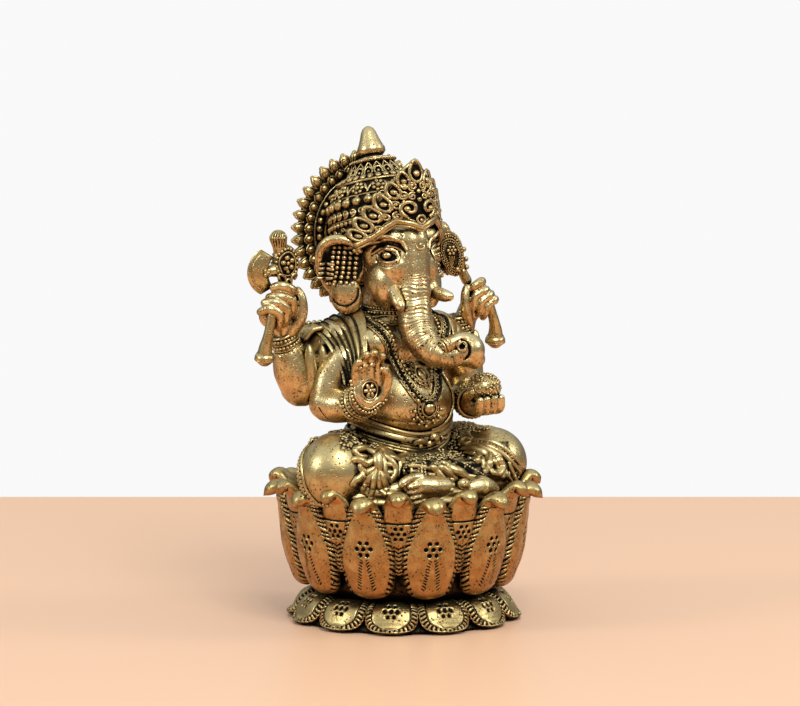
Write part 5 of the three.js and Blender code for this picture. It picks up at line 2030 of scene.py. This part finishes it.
# ------------------------------------------------------------------------------------------------ emblems
@dataclass
class Emblems:
    """The axe and the noose staff, with the flared ends of their handles."""

    axe: Point = (-23.4, 8, 74.2)
    paddle: Point = (15.6, 8, 73.2)

    def build(self) -> None:
        """Makes the four pieces."""
        self._axe()
        self._noose()
        for name, line, node in (
            (
                "axe_grip_bell",
                [(-28.4, 4.6, 64.4), (-29.1, 4.8, 60.4), (-29.5, 5.4, 57.6), (-29.5, 5.8, 55.4)],
                "axe_handle_end",
            ),
            (
                "noose_grip_bell",
                [(23.0, 4.8, 62.8), (24.2, 5.0, 59.4), (25.0, 5.6, 57.0), (25.2, 6.0, 54.8)],
                "noose_handle_end",
            ),
        ):
            bell = Casting()
            path = route(line, 8)
            bell.tube(path, [0.95, 1.0, 1.15, 1.45, 1.85], 28)
            heading = (path[-1] - path[-2]).normalized()
            cap = Casting()
            cap.turned([(0, -0.9), (1.75, -0.9), (2.05, -0.2), (2.1, 0.5), (1.7, 0.62), (0, 0.5)], 32)
            cap.ring((0, 0, 0.42), 1.95, 0.2, 32)
            bell.add(cap, frame_along(path[-1], heading))
            bell.piece(name, Finish.ORNAMENT, node)

    def _boss(self, metal: Casting, place: Place, width: float, height: float, petals: int) -> None:
        """An oval boss: a pearl border, a line and a flower."""
        face = Casting()
        count = round((width + height) * math.pi / 0.82)
        for i in range(count):
            angle = TURN * i / count
            face.ball((width * math.cos(angle), height * math.sin(angle), 0.1), 0.34)
        line = [
            Vector((width * 0.76 * math.cos(a), height * 0.78 * math.sin(a), 0.15))
            for a in np.linspace(0, TURN, 33)
        ]
        face.tube(line, 0.2, 6, closed=True)
        for i in range(petals):
            angle = TURN * i / petals + 0.5
            face.ball((0.95 * math.cos(angle), 0.2 + 1.1 * math.sin(angle), 0.25), (0.55, 0.5, 0.5))
        face.ball((0, 0.2, 0.3), 0.42)
        face.ball((0, -height * 0.5, 0.2), 0.4)
        metal.add(face, place)

    def _axe(self) -> None:
        """The axe: an oval head with a fluted top, and a crescent blade."""
        form = Casting()
        form.ball(self.axe, (3.0, 1.9, 3.9), (0, -6, 0), fine=5)
        form.bar([(-24.2, 7.4, 68.4), (-23.8, 7.6, 70.6), (-23.6, 8, 72.6)], 5, [1.2, 1.2, 1.8], 16)
        form.bar([(-24.2, 8, 76.4), (-24.7, 8, 77.8), (-25.0, 8, 79.3)], 5, [1.7, 1.5, 1.9], 24)
        form.tube([(-25.5, 7.9, 73.0), (-27.5, 7.9, 72.6)], [1.6, 1.0], 16)
        head = form.fuse(0.18, 3)

        def flutes(points: Array) -> Pair:
            x, y, z = points.T
            bearing = np.arctan2(y - 8, x + 24.8) / TURN
            cuts = dashes(bearing * 18) * smoothstep(77.4, 78, z) * (np.hypot(x + 24.9, y - 8) > 0.8)
            dark = fade(0.8, 1.05, np.hypot((x + 23.4) / 2.7, (z - 74.2) / 3.6)) * (y < 7.6)
            return -0.22 * cuts - 0.1 * dark, 0.8 * cuts + 0.8 * dark

        head.carve(flutes)
        skin = Skin(head)
        for aim in ((0.25, 1, 0), (0.0, -1, 0)):
            self._boss(head, skin.patch(self.axe, aim), 2.35, 3.1, 5)
        for x, z in ((-25.2, 70.6), (-23.6, 69.8), (-21.9, 70.6)):
            leafy = [
                skin.near((x + dx, 6, z + dz), 0.3)
                for dx, dz in ((-0.9, -0.6), (-0.7, 0.8), (0, 1.3), (0.7, 0.8), (0.9, -0.6))
            ]
            head.bar(leafy, 4, 0.34, 8)
        for turn in around(18):
            head.ball(Matrix.Translation((-25.05, 8, 79.6)) @ (turn @ Vector((0, -1.55, 0))), 0.32)

        blade = Casting()

        def crescent(u: Array, v: Array) -> Array:
            angle = np.radians(118 + 124 * v)
            outer_x, outer_z = -26.4 + 6.0 * np.cos(angle), 72.8 + 5.3 * np.sin(angle)
            inner_x, inner_z = -25.2 + 2.3 * np.cos(angle), 72.6 + 3.4 * np.sin(angle)
            turn = u * TURN
            share = 0.5 - 0.5 * np.cos(turn)
            taper = np.sin(np.pi * np.clip(v, 0.02, 0.98)) ** 0.4
            depth = 0.95 * np.sin(turn) * (1.15 - 0.75 * share) * taper
            return np.stack(
                [
                    inner_x * (1 - share) + outer_x * share, 7.9 + depth,
                    inner_z * (1 - share) + outer_z * share,
                ],
                axis=-1,
            )

        blade.sheet(40, 60, crescent)
        for side in (-1, 1):
            for i in range(4):
                angle = math.radians(90 * i + 45)
                blade.ball(
                    (-28.2 + 0.62 * math.cos(angle), 7.9 + side * 0.95, 72.6 + 0.62 * math.sin(angle)),
                    (0.5, 0.4, 0.5),
                )
            blade.ball((-28.2, 7.9 + side * 1.15, 72.6), (0.5, 0.45, 0.5))
            line = [
                (-26.4 + 5.2 * math.cos(a), 7.9 + side * 0.62, 72.8 + 4.5 * math.sin(a))
                for a in np.radians(np.linspace(128, 232, 26))
            ]
            blade.tube(line, 0.17, 6)
        head.add(blade)
        head.piece("crescent_axe", Finish.ORNAMENT, "axe")

    def _paddle_face(self, points: Array) -> Pair:
        """The dark ground of the paddle's flat faces."""
        x, _, z = points.T
        return np.zeros_like(x), 0.75 * fade(0.75, 1.0, np.hypot((x - 15.6) / 2.7, (z - 73.2) / 4.4))

    def _noose(self) -> None:
        """The noose, as a leaf-shaped paddle with beaded borders and a capped top."""
        form = Casting()
        form.ball(self.paddle, (2.9, 2.1, 4.8), (0, -14, 0), fine=5)
        form.bar([(19.2, 7.4, 67.4), (18.2, 7.6, 69.4), (17.4, 7.9, 71.4)], 5, [1.1, 1.0, 1.6], 16)
        form.bar([(14.0, 8, 77.2), (13.4, 8, 78.4)], 5, [1.7, 1.8], 20)
        head = form.fuse(0.18, 3)
        head.carve(self._paddle_face)
        skin = Skin(head)
        for aim in ((0.35, 1, 0), (0, -1, 0)):
            place = skin.patch(self.paddle, aim)
            for size, girth, beaded in (
                (1.0, 0.3, True), (0.84, 0.18, False), (0.70, 0.22, True), (1.12, 0.2, False),
            ):
                line = []
                for a in np.linspace(0, TURN, 60):
                    x = 2.15 * size * math.cos(a) * (1 + 0.25 * math.sin(a))
                    z = 4.0 * size * math.sin(a)
                    line.append(place(Vector((x - 0.24 * z, z, 0.12))))
                if beaded:
                    head.beads(line, girth, girth * 2.1, fine=1)
                else:
                    head.tube(line, girth, 6, closed=True)
            flower = rosette(6, 0.72, 0.36, 0.34)
            head.add(flower, laid(place, (-0.2, 1.0), lift=0.2))
            for k in range(3):
                rib = [
                    place(Vector((-0.1 + 0.5 * (k - 1) * (1 - t), -0.4 - 2.2 * t, 0.12)))
                    for t in np.linspace(0, 1, 6)
                ]
                head.tube(rib, 0.17, 6)
        for level in (0.0, 0.75):
            for turn in around(16):
                head.ball(
                    Matrix.Translation((13.4 - 0.25 * level, 8, 78.2 + level)) @ (
                        turn @ Vector((0, -1.7 + 0.2 * level, 0))
                    ),
                    0.32,
                )
        for x, z in ((16.2, 70.2), (17.8, 69.6), (19.2, 70.4), (20.0, 72.2), (19.9, 74.4)):
            head.ball(skin.near((x, 6.4, z), 0.2), 0.55)
        head.piece("noose_paddle", Finish.ORNAMENT, "noose_staff")


@dataclass
class Shawl:
    """The pleated cloth over the right shoulder."""

    outer: Line = (
        (-16.9, 10.4, 60.0), (-17.2, 7.0, 59.6), (-16.6, 3.6, 57.9), (-15.9, 0.8, 55.0), (-15.4, -0.8, 52.2),
        (-15.4, -2.2, 49.2),
    )
    middle: Line = (
        (-12.2, 12.0, 61.0), (-12.6, 8.0, 62.0), (-12.8, 3.0, 60.6), (-13.4, -1.6, 56.6), (-13.9, -3.6, 52.6),
        (-14.2, -4.4, 49.2),
    )
    inner: Line = (
        (-7.0, 12.2, 61.6), (-7.2, 7.0, 64.4), (-8.4, 1.4, 62.8), (-10.4, -3.0, 58.4), (-11.8, -4.6, 53.6),
        (-12.8, -4.8, 49.2),
    )
    pleats: Point = (0.11, 0.12, 0.12, 0.13, 0.13, 0.17, 0.22)

    def build(self) -> None:
        """Makes the shawl."""
        shawl = Casting()
        edges = np.concatenate([[0], np.cumsum(self.pleats)]) / sum(self.pleats)
        rows = np.linspace(0, 1, len(self.outer))
        guides = [
            [(row, *spot) for row, spot in zip(rows, side)] for side in (self.outer, self.middle, self.inner)
        ]
        core = np.array([-11.6, 5.2, 54.6])

        def across(u: Array) -> Array:
            return np.where(u < 0.82, u / 0.82, 1 - (u - 0.82) / 0.18)

        def shape(u: Array, v: Array) -> Array:
            share = across(u)[..., None]
            first, second, third = (along(guide, v) for guide in guides)
            point = first * (1 - share) * (
                1 - 2 * share
            ) + second * 4 * share * (1 - share) + third * share * (2 * share - 1)
            inwards = core - point
            inwards[..., 2] *= 0.3
            inwards /= np.linalg.norm(inwards, axis=-1, keepdims=True)
            depth = np.where(u < 0.82, 0.0, 1.5 * np.sin(np.pi * (u - 0.82) / 0.18))
            depth = depth + 1.2 * (1 - np.minimum(1, np.minimum(v, 1 - v) / 0.03)) ** 2
            return point + inwards * depth[..., None]

        def relief(u: Array, v: Array) -> Pair:
            share = across(u)
            cell = np.clip(np.searchsorted(edges, share, side="right") - 1, 0, len(self.pleats) - 1)
            inside = (share - edges[cell]) / (edges[cell + 1] - edges[cell])
            front = (u < 0.82) * smoothstep(0.0, 0.05, v) * fade(0.97, 1.0, v)
            ridge = np.sin(np.pi * np.clip(inside, 0, 1)) ** 0.55
            valley = fade(0.05, 0.22, np.minimum(inside, 1 - inside))
            return (0.85 * ridge - 0.25) * front, 0.85 * valley * front

        shawl.sheet(190, 110, shape, relief)
        bunch = Casting()
        bunch.ball((-17.4, 9.6, 59.2), (1.9, 2.0, 1.4), (0, -30, 0), fine=4)
        for k in range(4):
            fold = route(
                [
                    (-15.8, 9.6 - 1.1 * k, 60.4), (-17.6, 9.8 - 0.9 * k, 59.6 + 0.1 * k),
                    (-18.9, 9.6 - 0.7 * k, 58.2),
                ],
                6,
            )
            bunch.tube(fold, [0.5, 0.62, 0.5], 10)
        shawl.add(bunch)
        for k in range(6):
            x = -12.6 - 1.35 * k
            hang = route(
                [(x + 2.4, 12.2, 60.5), (x + 0.6, 13.2, 56.6), (x, 12.9, 51.4), (x + 0.4, 12.2, 47.6)], 8,
            )
            shawl.tube(hang, [0.6, 0.75, 0.8, 0.55], 12)
        shawl.piece("pleated_shawl", Finish.CLOTH, "shoulder_shawl")


# ------------------------------------------------------------------------------------------------ stage
@dataclass
class Stage:
    """A pale table, soft lights and the camera."""

    aim: Vector = field(default_factory=lambda: Vector((-0.00071, 0.00041, 0.0548)))
    azimuth: float = 30.0
    elevation: float = 9.0
    distance: float = 2.5
    lens: float = 548.8
    table_depth: float = 0.146
    table_size: tuple[float, float] = (3.0, 1.2)
    table_colour: Colour = (0.80, 0.52, 0.34, 1)
    room: float = 0.22
    room_strength: float = 0.95
    lamp_distance: float = 0.9
    lamps: Sequence[tuple[str, float, float, float, float, Colour]] = (
        ("key", 12, 48, 0.40, 5.0, (1, 0.98, 0.94, 1)),
        ("left", 100, 25, 0.25, 2.0, (1, 1, 1, 1)),
        ("right", -60, 30, 0.25, 1.7, (1, 1, 1, 1)),
    )

    def _direction(self, azimuth: float, elevation: float) -> Vector:
        """The way from the statue to a place at that azimuth, on the figure's right of -Y, and elevation."""
        a, e = math.radians(azimuth), math.radians(elevation)
        return Vector((-math.sin(a) * math.cos(e), -math.cos(a) * math.cos(e), math.sin(e)))

    def _look(self, thing: bpy.types.Object, place: Vector) -> None:
        """Puts a thing at a place and points it at the statue."""
        thing.location = place
        thing.rotation_euler = (self.aim - place).to_track_quat("-Z", "Y").to_euler()

    def _softbox(
        self, name: str, azimuth: float, elevation: float, size: float, power: float, colour: Colour,
    ) -> None:
        """Adds one soft light."""
        light = bpy.data.lights.new(name, "AREA")
        light.shape = "RECTANGLE"
        light.size = light.size_y = size
        light.energy = power
        light.color = colour[:3]
        lamp = bpy.data.objects.new(name, light)
        bpy.context.scene.collection.objects.link(lamp)
        self._look(lamp, self.aim + self._direction(azimuth, elevation) * self.lamp_distance)

    def build(self) -> None:
        """Makes the table, the lights and the camera."""
        scene = bpy.context.scene
        world = bpy.data.worlds.new("studio")
        world.use_nodes = True
        nodes, links = world.node_tree.nodes, world.node_tree.links
        split = nodes.new("ShaderNodeSeparateXYZ")
        links.new(nodes.new("ShaderNodeTexCoord").outputs["Generated"], split.inputs[0])
        ceiling = nodes.new("ShaderNodeMapRange")
        for name, value in (("From Min", 0.1), ("From Max", 0.8), ("To Min", self.room), ("To Max", 1.0)):
            ceiling.inputs[name].default_value = value
        links.new(split.outputs["Z"], ceiling.inputs["Value"])
        seen = nodes.new("ShaderNodeMath")
        seen.operation = "MAXIMUM"
        links.new(nodes.new("ShaderNodeLightPath").outputs["Is Camera Ray"], seen.inputs[0])
        links.new(ceiling.outputs["Result"], seen.inputs[1])
        links.new(seen.outputs["Value"], nodes["Background"].inputs["Color"])
        nodes["Background"].inputs["Strength"].default_value = self.room_strength
        scene.world = world
        scene.view_settings.view_transform = "Standard"

        table = bmesh.new()
        bmesh.ops.create_grid(table, x_segments=1, y_segments=1, size=0.5)
        turn = Matrix.Rotation(-math.radians(self.azimuth), 4, "Z")
        width, depth = self.table_size
        back = Matrix.Translation((0, self.table_depth - depth / 2, 0))
        place = turn @ back @ Matrix.Diagonal((width, depth, 1, 1))
        bmesh.ops.transform(table, matrix=place, verts=table.verts)
        mesh = bpy.data.meshes.new("table")
        table.to_mesh(mesh)
        table.free()
        floor = bpy.data.objects.new("table", mesh)
        scene.collection.objects.link(floor)
        bench = Bench("table")
        bench.metal.inputs["Base Color"].default_value = self.table_colour
        bench.metal.inputs["Roughness"].default_value = 0.35
        mesh.materials.append(bench.material)

        for lamp in self.lamps:
            self._softbox(*lamp)

        camera = bpy.data.cameras.new("camera")
        camera.lens = self.lens
        camera.sensor_width = 36
        viewer = bpy.data.objects.new("camera", camera)
        scene.collection.objects.link(viewer)
        self._look(viewer, self.aim + self._direction(self.azimuth, self.elevation) * self.distance)
        scene.camera = viewer


def main() -> None:
    """Builds the stage, then the statue from the ground up."""
    Stage().build()
    for part in (Lotus(), Torso(), Legs(), Arms(), Hands(), Head(), Crown(), Emblems(), Shawl()):
        log.info("building %s", type(part).__name__)
        part.build()


if __name__ == "__main__":
    main()
